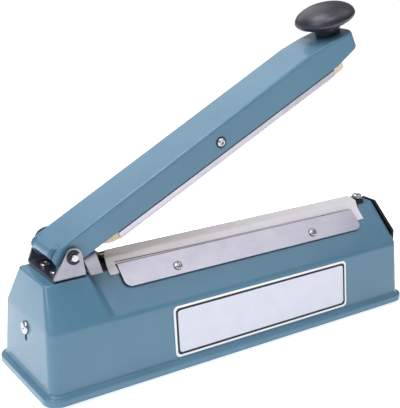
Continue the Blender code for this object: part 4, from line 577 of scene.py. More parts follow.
def makeHousing():  # the casting: a bead and cove round its foot, drafted walls, a soft kink and the ridge
    h = housing
    cove = h["lipReach"] - h["lipRound"]
    bead = arcPoints((cove, h["lipHigh"] - h["lipRound"]), h["lipRound"], 0, quarter, 7)
    sweep = arcPoints((cove, h["lipHigh"] + cove), cove, -quarter, -math.pi, 8)[1:-1]
    lip = np.vstack([[(h["lipReach"] - h["lipEase"], 0), (h["lipReach"], h["lipEase"])], bead, sweep])
    rings = [housingRing(high, -h["half"] - out, h["half"] + out, h["footHalf"] + out, h["footHalf"] + out,
                         h["corner"] + out, h["creaseFoot"]) for out, high in lip]
    foot, kink, ridge = housingLevels(0)
    inset = h["ridgeCorner"] / 2
    flat = housingRing(roof["ridge"], h["leftRidge"] + inset, h["rightRidge"] - inset, roof["ridgeHalf"] - inset,
                       h["pedestal"] - inset, h["ridgeCorner"] - inset, h["creaseTop"])
    piece = standFor("housing", np.concatenate([rings, [foot], bendRings(foot, kink, ridge, h["kinkRound"], 8),
                                                bendRings(kink, ridge, flat, h["ridgeRound"], 6)]))
    foot, kink, ridge = housingLevels(h["wall"])
    carve(piece, [np.array([foot * (1, 1, 0) - (0, 0, 2), foot, kink, ridge])])
    x, y = places["feet"]
    b = boss
    turn = np.linspace(0, math.pi, 17)
    bosses, tools = [], []
    for sx, sy in fourCorners:
        bulge = np.stack([sx * x + b["radius"] * np.cos(turn), sy * (y - b["radius"] * np.sin(turn))], 1)
        ends = [(sx * x - b["radius"], sy * b["wallAt"]), (sx * x + b["radius"], sy * b["wallAt"])]
        bosses.append(drawnOut(np.vstack([bulge, ends]), b["low"], b["high"]))
        tools.append(rod(holes["screw"], (sx * x, sy * y, 0), up, 0, b["bore"], 20))
    carve(piece, bosses, operation="UNION")
    end, (panelY, panelZ), (inletX, inletZ) = h["half"], places["panelScrews"], places["inlet"]
    cuts = [("screw", (x, side * y, roof["ridge"]), down, 4)
            for x, y in (places["bracketScrews"], places["guardScrews"]) for side in (-1, 1)]
    cuts.append(("rod", (places["rod"], 0, roof["ridge"]), down, 4))
    for side in (-1, 1):
        cuts += [("screw", onRoof(x, places["stripScrewY"], 0, side), roofNormal(side, -1), 4)
                 for x in places["stripScrews"]]
        cuts.append(("screw", (end, side * panelY, panelZ), toLeft, 5))
    cuts += [("bush", (end, 0, places["dial"]), toLeft, 5), ("lamp", (end, 0, places["lamp"]), toLeft, 5),
             ("inlet", (inletX, h["footHalf"] - (inletZ - h["foot"]) * h["draft"], inletZ), (0, -1, -h["draft"]), 4)]
    tools += [rod(holes[kind], place, into, -2, deep) for kind, place, into, deep in cuts]
    slot = roundedBox(*holes["slotHalf"], holes["slotRound"]) + (0, places["slot"])
    carve(piece, tools + [drawnOut(slot, *holes["slotCut"], alongX)])
    easeEdges(piece, 0.25, 2, 40)


makeHousing()
print("housing made")

easedNodes = {  # width of the small rounds in mm on each solid that keeps its own shape
    "hinge_bracket": 0.35, "pressure_bar": 0.2, "element_tab_left": 0.08, "switch_bracket": 0.2,
    "micro_switch": 0.3, "switch_button": 0.2, "potentiometer": 0.2, "timer_board": 0.1,
    "transformer_core": 0.2, "bottom_cover": 0.25, "pivot_bush_front": 0.15, "pivot_bush_back": 0.15,
    "timer_shaft": 0.15,
}
for node, widthMm in easedNodes.items():
    piece = placePiece(node + "_eased", mergedMesh(node), bodyOf[node], slotOf[node], node)
    easeEdges(piece, widthMm)
    # the hinge bracket takes the greyer, duller copy of the plate: painted shade
    if node == "hinge_bracket":
        piece.data.materials[0] = finishes["shaded_plate"]
print("eased the edges of", len(easedNodes), "solids")

# the black layer under each strip's left end, standing out past it, is a painted shadow along that edge
strip = {"left": -89.6, "right": 126.8, "upper": 9.6, "lower": 23.5, "leftRound": 5.0, "rightRound": 6.2, "low": 0.7,
         "thick": 1.1, "edge": 0.4, "shadowStripOut": 0.9, "shadowStripIn": 8, "shadowStripLow": 0.42, "shadowStripThick": 0.26,
         "shadowStripTop": 0.2, "shadowStripShort": 0.3}


def makeStrips():  # sheared sheet strips with round lower corners, over a black layer that stands out at the left: painted shadow along each strip's left edge
    s = strip
    slope = math.cos(roof["slope"])
    drop = (s["lower"] - s["upper"]) / slope
    left, right, shadowStripDrop = s["leftRound"], s["rightRound"], drop - s["shadowStripShort"]
    outline = np.vstack([[(s["left"], 0), (s["right"], 0)],
                         arcPoints((s["right"] - right, drop - right), right, 0, quarter, 12),
                         arcPoints((s["left"] + left, drop - left), left, quarter, math.pi, 12)])
    outer, inner = s["left"] - s["shadowStripOut"], s["left"] + s["shadowStripIn"]
    shadowStrip = np.vstack([[(outer, s["shadowStripTop"]), (inner, s["shadowStripTop"]), (inner, shadowStripDrop)],
                         arcPoints((outer + left, shadowStripDrop - left), left, quarter, math.pi, 12)])
    for name, side in sides:
        def place(points):
            return onRoof(points[..., 0], s["upper"] + points[..., 1] * slope, points[..., 2], side)

        piece = standFor("clamp_strip_" + name, drawnOut(outline, s["low"], s["low"] + s["thick"], place))
        carve(piece, [rod(holes["screw"], onRoof(x, places["stripScrewY"], s["low"], side), roofNormal(side, -1),
                          -3, 1) for x in places["stripScrews"]])
        easeEdges(piece, s["edge"], 3)
        addPiece("paintedShadowEdge_" + name, drawnOut(shadowStrip, s["shadowStripLow"], s["shadowStripLow"] + s["shadowStripThick"], place), "base",
                 "black_rubber")


guard = {"left": (-115.4, -116.9), "right": -106.3, "foot": 76.2, "top": 88.5, "footHalf": 22.9, "topHalf": 11.8,
         "sheet": 1.2, "bend": 0.4, "innerBend": 0.15}


def makeGuard():  # a plated sheet folded up at both ends, each leaf leaning in over the rod
    g = guard
    path = mirrored([(g["topHalf"], g["top"]), (g["footHalf"], g["foot"])])
    outer, inner = roundPath(path, g["bend"], 6), roundPath(offsetPath(path, -g["sheet"]), g["innerBend"], 6)
    section = np.vstack([outer, inner[::-1]])
    left = np.interp(section[:, 1], (g["foot"], g["top"]), g["left"])
    grid = np.stack([np.column_stack([left, section]), np.column_stack([np.full(len(section), g["right"]), section])])
    piece = standFor("spring_guard", grid, sharpest=30)
    x, y = places["guardScrews"]
    carve(piece, [rod(holes[kind], (x, y, g["foot"]), up, -2, 4)
                  for kind, x, y in (("screw", x, -y), ("screw", x, y), ("rod", places["rod"], 0))])
    easeEdges(piece, 0.2, 2, 30)


panel = {"half": 30.0, "low": 13.0, "proud": 0.7, "gap": 0.3, "thick": 2.4, "footRound": 1.2, "round": 0.8}
panelFace = housing["half"] + panel["gap"] + panel["thick"]


def panelPoint(y, z, out):  # mm over the panel's face, which leans with the housing's end
    return np.stack([panelFace - housing["lean"] * (z - housing["foot"]) + out + 0 * y, y, z], -1)


def makePanel():  # a black plate over the right end wall, its top a little proud of the roof
    p = panel
    half = [(p["half"], p["low"]), (p["half"], roofHeight(p["half"]) + p["proud"]),
            (roof["ridgeHalf"], roof["ridge"] + p["proud"])]
    outline = roundPath([(0, p["low"])] + mirrored(half) + [(-0.1, p["low"])],
                        (p["footRound"], *[p["round"]] * 4, p["footRound"]), 5)
    piece = standFor("timer_panel", np.stack([panelPoint(*outline.T, level) for level in (-p["thick"], 0.0)]))
    y, z = places["panelScrews"]
    carve(piece, [rod(holes[kind], (panelFace, y, z), toLeft, -2, 6)
                  for kind, y, z in (("screw", -y, z), ("screw", y, z), ("bush", 0, places["dial"]),
                                     ("lamp", 0, places["lamp"]))])
    easeEdges(piece, 0.35)


makeStrips()
makeGuard()
makePanel()

arm = {"length": 273.5, "half": 18.25, "sheet": 1.5, "edge": 2.2, "topAtPin": 9.6, "topAtSeat": 14.2, "low": 7.2,
       "tail": 12.0, "tailLow": 2.7, "tailDrop": 2.8, "tailRound": 4.0, "seatEase": 229.0, "seatFlat": 248.0,
       "easeTilt": math.tan(math.radians(4.6)), "seatTilt": math.radians(9.0), "nose": 8.0, "noseLow": 3.0,
       "pin": 2.53, "pivot": (132.8, 0.7), "pivotHole": 2.3, "knobHole": 2.3, "knob": 261.9,
       "pleats": (12.2, 14.4, 16.6), "pleatDeep": (2.0, 2.8, 2.8), "pleatWide": 0.75, "pleatFrom": -2.6,
       "pleatFull": -8.0, "pleatLean": 0.10, "pleatPull": 0.5,
       "pleatHigh": (1.0, 4.0), "pleatOuter": (14.5, 16.5), "rowsAt": (-4.0, 26, 222), "rows": (30, 20, 30, 28),
       "fineTo": 0.52}


def armTop(u):  # a slow rise from the pin, then an easing slope and the knob's seat
    rise = (arm["topAtSeat"] - arm["topAtPin"]) / arm["seatEase"]
    top = arm["topAtPin"] + rise * np.clip(u, 0, arm["seatEase"])
    top = top - np.clip(np.minimum(u, arm["seatFlat"]) - arm["seatEase"], 0, None) * arm["easeTilt"]
    return top - np.clip(u - arm["seatFlat"], 0, None) * math.tan(arm["seatTilt"])


seatPlace = np.array([arm["knob"], 0, float(armTop(arm["knob"]))])
seatOut = np.array([math.sin(arm["seatTilt"]), 0, math.cos(arm["seatTilt"])])


def armSkin(inset):  # rows are stations along the arm; columns go up one side, over the top and down the other
    a = arm
    nose = a["nose"]
    straight = stations((-a["tail"], *a["rowsAt"], a["length"] - nose), a["rows"])
    turn = np.linspace(0, quarter, 14)[1:]
    u = np.concatenate([straight, a["length"] - nose + nose * np.sin(turn)])
    half = np.concatenate([np.full_like(straight, a["half"]), a["half"] - nose + nose * np.cos(turn)])
    tail, tip = ramp(u, a["tailRound"] - a["tail"], -a["tail"]), ramp(u, a["seatFlat"], a["length"])
    top = armTop(u) - a["tailDrop"] * tail ** 2
    low = -(a["low"] + (a["tailLow"] - a["low"]) * tail ** 1.5 + (a["noseLow"] - a["low"]) * tip)[:, None]
    u = u - inset * ramp(u, a["length"] - nose, a["length"])
    top, half, radius = (top - inset)[:, None], (half - inset)[:, None], a["edge"] - inset
    bend = np.linspace(0, quarter, 14)[None, :]
    rise = np.linspace(0, 1, 9)[None, :-1]
    across = stations((1, a["fineTo"], 0), (30, 5))[None, 1:]
    y = np.concatenate([half + 0 * rise, half - radius + radius * np.cos(bend), (half - radius) * across], 1)
    z = np.concatenate([low + (top - radius - low) * rise, top - radius + radius * np.sin(bend), top + 0 * across], 1)
    y, z = np.concatenate([y, -y[:, -2::-1]], 1), np.concatenate([z, z[:, -2::-1]], 1)
    return pleatTail(np.stack([np.repeat(u[:, None], y.shape[1], 1), y, z], -1))


def pleatTail(points):  # the sheet gathers in narrow pleats where the tail is bent down, deeper towards its end
    a, (u, y, z) = arm, np.moveaxis(points, -1, 0).copy()
    along, high = ramp(u, a["pleatFrom"], a["pleatFull"]), ramp(z, *a["pleatHigh"])
    outer = ramp(np.abs(y), *a["pleatOuter"])
    for centre, deep in zip(a["pleats"], a["pleatDeep"]):
        lean = centre + a["pleatLean"] * (a["pleatFull"] - u)
        dent = deep * along ** 1.5 * high * np.exp(-((np.abs(y) - lean) / a["pleatWide"]) ** 2)
        points[..., 2] -= dent
        points[..., 1] -= np.sign(y) * dent * a["pleatPull"] * outer
    return points


def makeArm():  # the pressed channel: outer and inner skins joined round its mouth and tail
    piece = standFor("arm", np.concatenate([armSkin(0.0), armSkin(arm["sheet"])[:, ::-1]], 1), armSpace)
    u, n = arm["pivot"]
    carve(piece, [rod(arm["pin"], (0, 0, 0), toBack, -25, 25), rod(arm["pivotHole"], (u, 0, n), toBack, -25, 25),
                  rod(arm["knobHole"], seatPlace, seatOut, -4, 4)], armSpace)
    easeEdges(piece, 0.3, 2, 38)


makeArm()

knob = {"foot": 9.5, "footRound": 0.6, "neck": 10.4, "neckHigh": 7.0, "rim": 23.0, "rimHigh": 12.6, "high": 22.8,
        "hole": 2.3, "holeDeep": 10.3, "off": 0.3, "seam": 0.10, "seamHalf": 0.15}


def makeKnob():  # a quarter ellipse under the rim and another over it, with the mould's fine seam round the rim
    k = knob
    turn = np.linspace(0, quarter, 26)
    under = np.stack([k["neck"] + (k["rim"] - k["neck"]) * np.sin(turn),
                      k["neckHigh"] + (k["rimHigh"] - k["neckHigh"]) * (1 - np.cos(turn))], 1)
    over = np.stack([k["rim"] * np.cos(turn), k["rimHigh"] + (k["high"] - k["rimHigh"]) * np.sin(turn)], 1)
    seam = [(k["rim"], k["rimHigh"] - k["seamHalf"]), (k["rim"] + k["seam"], k["rimHigh"]),
            (k["rim"], k["rimHigh"] + k["seamHalf"])]
    foot = roundPath([(0, 0), (k["foot"], 0), (k["neck"], k["neckHigh"])], k["footRound"], 4)
    grid = turnedGrid(np.vstack([foot, under[1:-2], seam, over[2:]]), 112)
    place = seatPlace + seatOut * k["off"]
    piece = standFor("knob", aimed(grid, place, seatOut), armSpace)
    carve(piece, [rod(k["hole"], place, seatOut, -2, k["holeDeep"])], armSpace)
    easeEdges(piece, 0.15, 1, 50)


makeKnob()
print("arm and knob made")

platform = {"left": -104.0, "shoulder": -97.3, "shoulderTop": 77.3, "shoulderHalf": 5.6, "shoulderFoot": 12.6,
            "skirt": 1.2, "block": 136.0, "right": 144.3, "topHalf": 6.3, "footHalf": 9.2, "top": 79.7,
            "drop": 0.8, "lift": 0.2, "round": 1.6, "smallRound": 0.3, "screw": (142.5, 1.6, 2.0)}
cloth = {"left": -97.0, "right": 134.7, "skew": (7.0, 3.0), "skewLong": 22.0, "short": 3.6, "shortTo": (-88.0, -60.0),
         "fold": 0.35, "span": 17.2, "under": 80.0, "layer": 0.15, "thick": 0.25,
         "topRound": 2.0, "footRound": 3.5, "ribbonSide": (1.6, 3.1), "ribbonDip": 0.16, "waves": 0.07,
         "ripples": ((1, 0.11, 0.3, 0), (1, 0.047, 0, 1.3), (0.5, 0.23, -0.2, 0)), "wavesAt": (8.2, 0.9),
         "looseX": (-78.0, -90.0), "looseY": (-6.5, -9.5), "foldEvery": (1.25, 0.35), "topHalf": 6.0}
# the two black layers over the hem are painted shadow lines: one just past the hem's edge, one in the gap at the
# clamp strip's edge
hem = {"left": -90.4, "right": 126.0, "stripY": 9.6, "under": 1.5, "at": (-90.4, -20.0, 60.0, 112.0, 126.0),
       "proud": (2.2, 1.4, 1.5, 0.7, 0.5), "off": 0.06, "thick": 0.08, "rightFold": (130.6, 134.7),
       "rightOff": 0.02, "rightThick": 0.12, "shadowStripLow": 0.01, "shadowStripThick": 0.04,
       "shadowStripOut": (0.6, 0.35, 0.15, 0.25, 0.2), "bead": 0.75, "gapShadowLow": 0.17, "gapShadowThick": 0.11}


def makePlatform():  # a moulded bar whose top edges are rounded under the cloth, with a lower block at its end
    p, ridge, low = platform, roof["ridgeHalf"], roof["ridge"] + platform["lift"]
    half = [(ridge, low), (p["footHalf"], roofHeight(p["footHalf"]) + p["lift"]), (p["topHalf"], p["top"])]
    outline = roundPath(mirrored(half), (p["smallRound"], p["round"], p["round"], p["smallRound"]), 6)
    piece = standFor("platform", drawnOut(outline, p["shoulder"], p["block"], alongX))
    foot, high = roofHeight(p["shoulderFoot"]) + p["lift"], p["top"] - p["drop"]
    half = [(ridge, low), (p["shoulderFoot"], foot), (p["shoulderFoot"] - p["skirt"], foot + p["skirt"]),
            (p["shoulderHalf"], p["shoulderTop"])]
    lower = roundPath([(0, low)] + mirrored(half) + [(-0.1, low)], 0.25, 3)
    end = roundPath([(0, low)] + mirrored([(p["topHalf"], low), (p["topHalf"], high)]) + [(0.1, low)],
                    p["smallRound"], 3)
    for outline, start, stop in ((lower, p["left"], p["shoulder"] + 0.5), (end, p["block"] - 2, p["right"])):
        carve(piece, [drawnOut(outline, start, stop, alongX)], operation="UNION")
    x, radius, deep = p["screw"]
    carve(piece, [rod(radius, (x, 0, high), down, -2, deep)])
    easeEdges(piece, 0.25)


def clothPath():  # the line that the cloth's underside follows across the platform, front to back
    c, foot = cloth, platform["footHalf"]
    front = [(-c["span"], roofHeight(c["span"])), (-foot, roofHeight(foot) + 0.2), (-platform["topHalf"], c["under"])]
    path = roundPath(mirrored(front), (c["footRound"], c["topRound"], c["topRound"], c["footRound"]), 8)
    length = np.cumsum(np.concatenate([[0], np.linalg.norm(np.diff(path, axis=0), axis=1)]))
    even = np.linspace(0, length[-1], 97)
    return np.stack([np.interp(even, length, path[:, 0]), np.interp(even, length, path[:, 1])], 1), even


def clothSurface(x, share, off):  # a point at x mm, a length along the path, and a height over the underside
    c, (path, even) = cloth, clothPath()
    raised = offsetPath(path, c["layer"])
    normal = unit(offsetPath(path, 1.0) - path)
    y, z, ny, nz = (np.interp(share, even, values) for values in (*raised.T, *normal.T))
    dip = c["ribbonDip"] * ramp(np.abs(y), *c["ribbonSide"]) * (np.abs(y) < c["topHalf"])
    wave = sum(high * np.sin(x * along + across * y + start) for high, along, across, start in c["ripples"])
    wavesY, wavesWide = c["wavesAt"]
    lift = off - dip + c["waves"] * (0.5 + 0.2 * wave) * np.exp(-((np.abs(y) - wavesY) / wavesWide) ** 2)
    loose = ramp(x, *c["looseX"]) * ramp(y, *c["looseY"])
    lift = lift + c["fold"] * loose * (0.5 + 0.5 * np.sin(x * c["foldEvery"][0] + y * c["foldEvery"][1]))
    back = ramp(y, -c["topHalf"], c["topHalf"])  # the sheet is cut askew, its back corners further right
    nearLeft = ramp(x, c["left"] + c["skewLong"], c["left"])
    nearRight = ramp(x, c["right"] - c["skewLong"], c["right"])
    x = x + back * (c["skew"][0] * nearLeft + c["skew"][1] * nearRight)
    return np.stack([x + 0 * share, y + ny * lift, z + nz * lift], -1)


def clothUv(mesh):  # the weave's own coordinates: mm along the machine, and mm along the cloth's path
    path, even = clothPath()
    points = (meshPoints(mesh) - bodyShift) / mm
    flat = np.stack([points[:, 0], np.interp(points[:, 1], path[:, 0], even)], 1)[cornerPoints(mesh)]
    mesh.uv_layers.new(name="weaveMm").data.foreach_set("uv", flat.astype(np.float32).ravel())


def sheetGrid(x, low, high, off, thick, columns=97):  # a thin layer between two lengths of the cloth's path
    x, low, high = (np.asarray(v, float)[:, None] + 0 * np.asarray(x, float)[:, None] for v in (x, low, high))
    share = low + (high - low) * np.linspace(0, 1, columns)[None, :]
    return np.concatenate([clothSurface(x, share, off + thick), clothSurface(x, share[:, ::-1], off)], 1)


def makeClothPieces():  # the stretched cloth, the folded hem that stands out above each clamp strip, and two black layers there that paint the shadow lines along the strip's upper edge
    path, even = clothPath()
    x = np.linspace(cloth["left"], cloth["right"], 120)
    low = cloth["short"] * np.interp(x, cloth["shortTo"], (1.0, 0.0))
    sheet = standFor("release_cloth", sheetGrid(x, low, even[-1] + 0 * x, 0.0, cloth["thick"]), sharpest=50)
    edge = float(np.interp(-hem["stripY"], path[:, 0], even))
    x = np.linspace(hem["left"], hem["right"], 100)
    proud = np.interp(x, hem["at"], hem["proud"])
    layers = (  # name, its reach past the strip's edge, height over the cloth, thickness, finish
        ("clothHem", proud, hem["off"], hem["thick"], "release_cloth"),
        # these two black layers paint the shadow lines along the clamp strip's upper edge
        ("clampShadowLine", proud + np.interp(x, hem["at"], hem["shadowStripOut"]), hem["shadowStripLow"], hem["shadowStripThick"],
         "black_rubber"),
        ("clampGapShadow", hem["bead"] + 0 * x, hem["gapShadowLow"], hem["gapShadowThick"], "black_rubber"))
    hems = []
    for side, place in sides:
        for name, reach, off, thick, slotName in layers:
            low, high = edge - hem["under"] + 0 * x, edge + reach
            if place > 0:
                low, high = even[-1] - high, even[-1] - low
            piece = addPiece(f"{name}_{side}", sheetGrid(x, low, high, cloth["thick"] + off, thick, 15), "base",
                             slotName, sharpest=50)
            if slotName == "release_cloth":
                hems.append(piece)
    x = np.linspace(*hem["rightFold"], 9)
    hems.append(addPiece("clothHem_right", sheetGrid(x, 0 * x, even[-1] + 0 * x, cloth["thick"] + hem["rightOff"],
                                                     hem["rightThick"]), "base", "release_cloth", sharpest=50))
    for piece in [sheet] + hems:
        clothUv(piece.data)


makePlatform()
screwDome = {"x": -100.7, "off": 0.02, "profile": [(0, 0), (2.1, 0), (2.1, 0.3), (1.7, 0.8), (1.0, 1.15), (0, 1.25)]}
addPiece("platformScrew", turnedGrid(screwDome["profile"], 28)
         + (screwDome["x"], 0, platform["shoulderTop"] + screwDome["off"]), "base", "brass")
makeClothPieces()
print("platform and cloth made")

# the black band on each side of the bar is the arm's shadow, painted
bar = {"start": 38.5, "end": 250.5, "side": 8.0, "wall": 1.25, "lipTop": -17.72, "lip": -19.2, "lipIn": 0.35,
       "armShadowOff": 0.01, "armShadowTop": -13.0, "armShadowBand": -14.2, "armShadowThick": 0.1}


def makeBarTrim():  # a rolled lip under each wall of the bar, and a black band along its side: painted shadow of the arm's lower edge on the bar
    b = bar
    inner, near, far = b["side"] - b["wall"], b["side"] + b["armShadowOff"], b["side"] + b["armShadowThick"]
    lip = [(inner, b["lipTop"]), (b["side"], b["lipTop"]), (b["side"] - b["lipIn"], b["lip"]), (inner, b["lip"])]
    armShadowBand = [(near, b["armShadowTop"]), (far, b["armShadowTop"]), (far, b["armShadowBand"]), (near, b["armShadowBand"])]
    for name, side in sides:
        for kind, section, slotName in (("barLip_", lip, "aluminium"), ("barArmShadow_", armShadowBand, "black_rubber")):
            addPiece(kind + name, drawnOut(np.array(section) * (side, 1), b["start"], b["end"], alongX), "bar",
                     slotName, armSpace)


makeBarTrim()

rubber = {"start": 25.5, "curl": 38.5, "end": 261.4, "half": 6.4, "top": -9.8, "bottom": -19.6, "curlUp": 5.0,
          "tip": 3.0, "endRound": 0.5, "endPull": 0.35, "sectionRound": 0.22}


def makeRubber():  # an extruded strip: a rounded section along the bar, swept up and thinned at the hinge end
    r = rubber
    u = stations((r["start"], r["curl"], r["end"]), (16, 60))
    share = ramp(u, r["curl"], r["start"])
    bottom = r["bottom"] + r["curlUp"] * share ** 2
    top = r["top"] + (r["bottom"] + r["curlUp"] + r["tip"] - r["top"]) * share
    close = ramp(np.minimum(u - r["start"], r["end"] - u), 0, r["endRound"])  # the cut ends are barely rounded
    pull = (r["endPull"] * (1 - np.sqrt(1 - (1 - close) ** 2)))[:, None]
    box = roundedBox(1.0, 1.0, r["sectionRound"], 5)[None]
    middle, tall = (top + bottom)[:, None] / 2, (top - bottom)[:, None] / 2
    y = box[..., 0] * (r["half"] - pull)
    z = middle + box[..., 1] * (tall - pull)
    piece = standFor("silicone_strip", np.stack([np.repeat(u[:, None], y.shape[1], 1), y, z], -1), armSpace,
                     sharpest=60)
    piece.modifiers.new("faceWeight", "WEIGHTED_NORMAL").keep_sharp = True  # flat faces keep their normals


makeRubber()

spring = {"x": -113.4, "low": 77.57, "high": 103.16, "radius": 2.9, "wire": 0.4, "turns": 9, "dead": 0.9,
          "stepsPerTurn": 30, "sides": 10, "keep": 0.764}


def makeSpring():  # wire round an axis whose height climbs slowly in the dead end turns and fast between them
    s = spring
    turn = np.linspace(0, 1, s["turns"] * s["stepsPerTurn"] + 1) * s["turns"]
    inner = (turn >= s["dead"]) & (turn <= s["turns"] - s["dead"])
    pitch = np.where(inner, 1.0, 2.1 * s["wire"])
    climb = np.concatenate([[0], np.cumsum((pitch[1:] + pitch[:-1]) / 2 * np.diff(turn))])
    deadClimb = climb[~inner][turn[~inner] < s["dead"]][-1]
    whole = s["high"] - s["low"] - 2 * s["wire"]
    live = climb[-1] - 2 * deadClimb
    height = np.where(turn < s["dead"], climb,
                      np.where(inner, deadClimb + (climb - deadClimb) * (whole - 2 * deadClimb) / live,
                               whole - (climb[-1] - climb)))
    angle = turn[:, None] * 2 * math.pi
    around = np.linspace(0, 2 * math.pi, s["sides"], endpoint=False)[None, :]
    radius = s["radius"] + s["wire"] * np.cos(around)
    grid = np.stack([s["x"] + radius * np.cos(angle), radius * np.sin(angle),
                     s["low"] + s["wire"] + height[:, None] + s["wire"] * np.sin(around)], -1)
    piece = standFor("return_spring", grid, sharpest=70)
    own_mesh(piece)


makeSpring()
print("rubber and spring made")

thread = {"deep": 0.22, "point": 0.8, "pointThin": 0.6, "columns": 40}
screwKinds = {  # head's radius and height, shank's radius and length, thread pitch, recess
    "strip": (3.3, 1.8, 1.5, 6.5, 0.7, "cross"), "guard": (3.15, 1.8, 1.5, 6.5, 0.7, "cross"),
    "panel": (2.8, 1.8, 1.5, 6.5, 0.7, "cross"), "end": (4.7, 2.3, 1.7, 8.0, 0.7, "cross"),
    "terminalLeft": (2.4, 1.4, 1.3, 3.97, 0.45, "slot"), "terminalRight": (4.1, 2.5, 1.3, 2.83, 0.45, "slot"),
    "cover": (3.1, 1.4, 1.5, 11.0, 0.7, "cross"), "core": (3.1, 1.4, 1.5, 3.5, 0.5, "cross"),
    "knob": (4.2, 2.0, 2.0, 11.5, 0.7, "cross"),
}


def recessTool(kind, radius, high):  # a cross or a slot that narrows as it goes down into the head
    wide, reach, shrink = radius * 0.13, radius * (1.3 if kind == "slot" else 0.56), 0.9 if kind == "slot" else 0.55
    if kind == "slot":
        outline = np.array([(-reach, -wide), (reach, -wide), (reach, wide), (-reach, wide)])
    else:
        oneArm = np.array([(reach, -wide), (reach, wide), (wide, wide)])
        outline = np.vstack([oneArm @ np.array([[c, s], [-s, c]]) for c, s in ((1, 0), (0, 1), (-1, 0), (0, -1))])
    return np.stack([np.column_stack([outline * size, np.full(len(outline), height)])
                     for size, height in ((shrink, high * 0.45), (1.0, high + 0.3))])


def makeScrew(node, kind, place, outward, spin, space=bodySpace):
    # a pan head over a shank whose radius falls to a groove and rises again in each pitch of its thread
    radius, high, thin, long, pitch, recess = screwKinds[kind]
    turn = np.linspace(0, quarter, 12)
    dome = np.stack([radius * np.cos(turn) ** 0.8, high * (0.18 + 0.82 * np.sin(turn))], 1)
    head = turnedGrid(np.vstack([[(thin, 0.0), (radius - 0.12, 0.0), (radius, 0.12)], dome]), thread["columns"])
    height = np.linspace(-long, 0, max(12, int(long / pitch * 8)))[:-1, None]
    around = np.linspace(0, 2 * math.pi, thread["columns"], endpoint=False)[None, :]
    phase = (height / pitch + around / (2 * math.pi)) % 1
    groove = thread["deep"] * pitch * (1 - np.abs(2 * phase - 1)) * 2
    taper = thread["pointThin"] + (1 - thread["pointThin"]) * ramp(height + long, 0, thread["point"])
    r = (thin - groove) * taper
    shank = np.stack([r * np.cos(around), r * np.sin(around), height + 0 * around], -1)
    piece = standFor(node, aimed(np.concatenate([shank, head]), place, outward, spin), space, sharpest=50)
    carve(piece, [aimed(recessTool(recess, radius, high), place, outward, spin)], space)
    soften(piece.data, 42)


screwAt = {"strip": 2.1, "bracket": 78.1, "guard": 77.5, "panel": 158.8, "core": 0.7, "cover": -0.6, "post": 83.7,
           "block": 80.4, "knob": 1.8, "end": 0.3, "endLean": math.atan2(1.9, 40.4)}  # where the heads are seated
screwList = [(f"strip_screw_{first + number}", "strip", onRoof(x, places["stripScrewY"], screwAt["strip"], side),
              roofNormal(side), spin) for side, first in ((-1, 1), (1, 3))
             for number, (x, spin) in enumerate(zip(places["stripScrews"], (0.5, 1.1)))]
panelY, panelZ = places["panelScrews"]
for number, side in ((1, -1), (2, 1)):
    for name, kind, key, spin in (("bracket_screw", "strip", "bracket", 0.4 + number),
                                  ("guard_screw", "guard", "guard", 0.9 * number)):
        x, y = places[key + "Screws"]
        screwList.append((f"{name}_{number}", kind, (x, side * y, screwAt[key]), up, spin))
    x = screwAt["panel"] - housing["lean"] * (panelZ - housing["foot"])
    screwList += [(f"panel_screw_{number}", "panel", (x, side * panelY, panelZ), toRight, 0.3 * number),
                  (f"core_screw_{number}", "core", (places["coreScrews"][number - 1], 0, screwAt["core"]), down,
                   0.6 * number)]
footX, footY = places["feet"]
screwList += [(f"cover_screw_{number}", "cover", (sx * footX, sy * footY, screwAt["cover"]), down, 0.7 * number)
              for number, (sx, sy) in enumerate(fourCorners, 1)]
lean, (postX, blockX) = screwAt["endLean"], places["terminals"]
endX = -housing["half"] + math.tan(lean) * (places["endScrew"] - housing["foot"]) - screwAt["end"]
screwList += [("end_screw", "end", (endX, 0, places["endScrew"]), (-math.cos(lean), 0, math.sin(lean)), 0.2),
              ("terminal_screw_left", "terminalLeft", (postX, 0, screwAt["post"]), up, 0.8),
              ("terminal_screw_right", "terminalRight", (blockX, 0, screwAt["block"]), up, 0.9),
              ("knob_screw", "knob", seatPlace - seatOut * screwAt["knob"], -seatOut, 0.3, armSpace)]
for row in screwList:
    makeScrew(*row)
print("made", len(screwList), "screws")

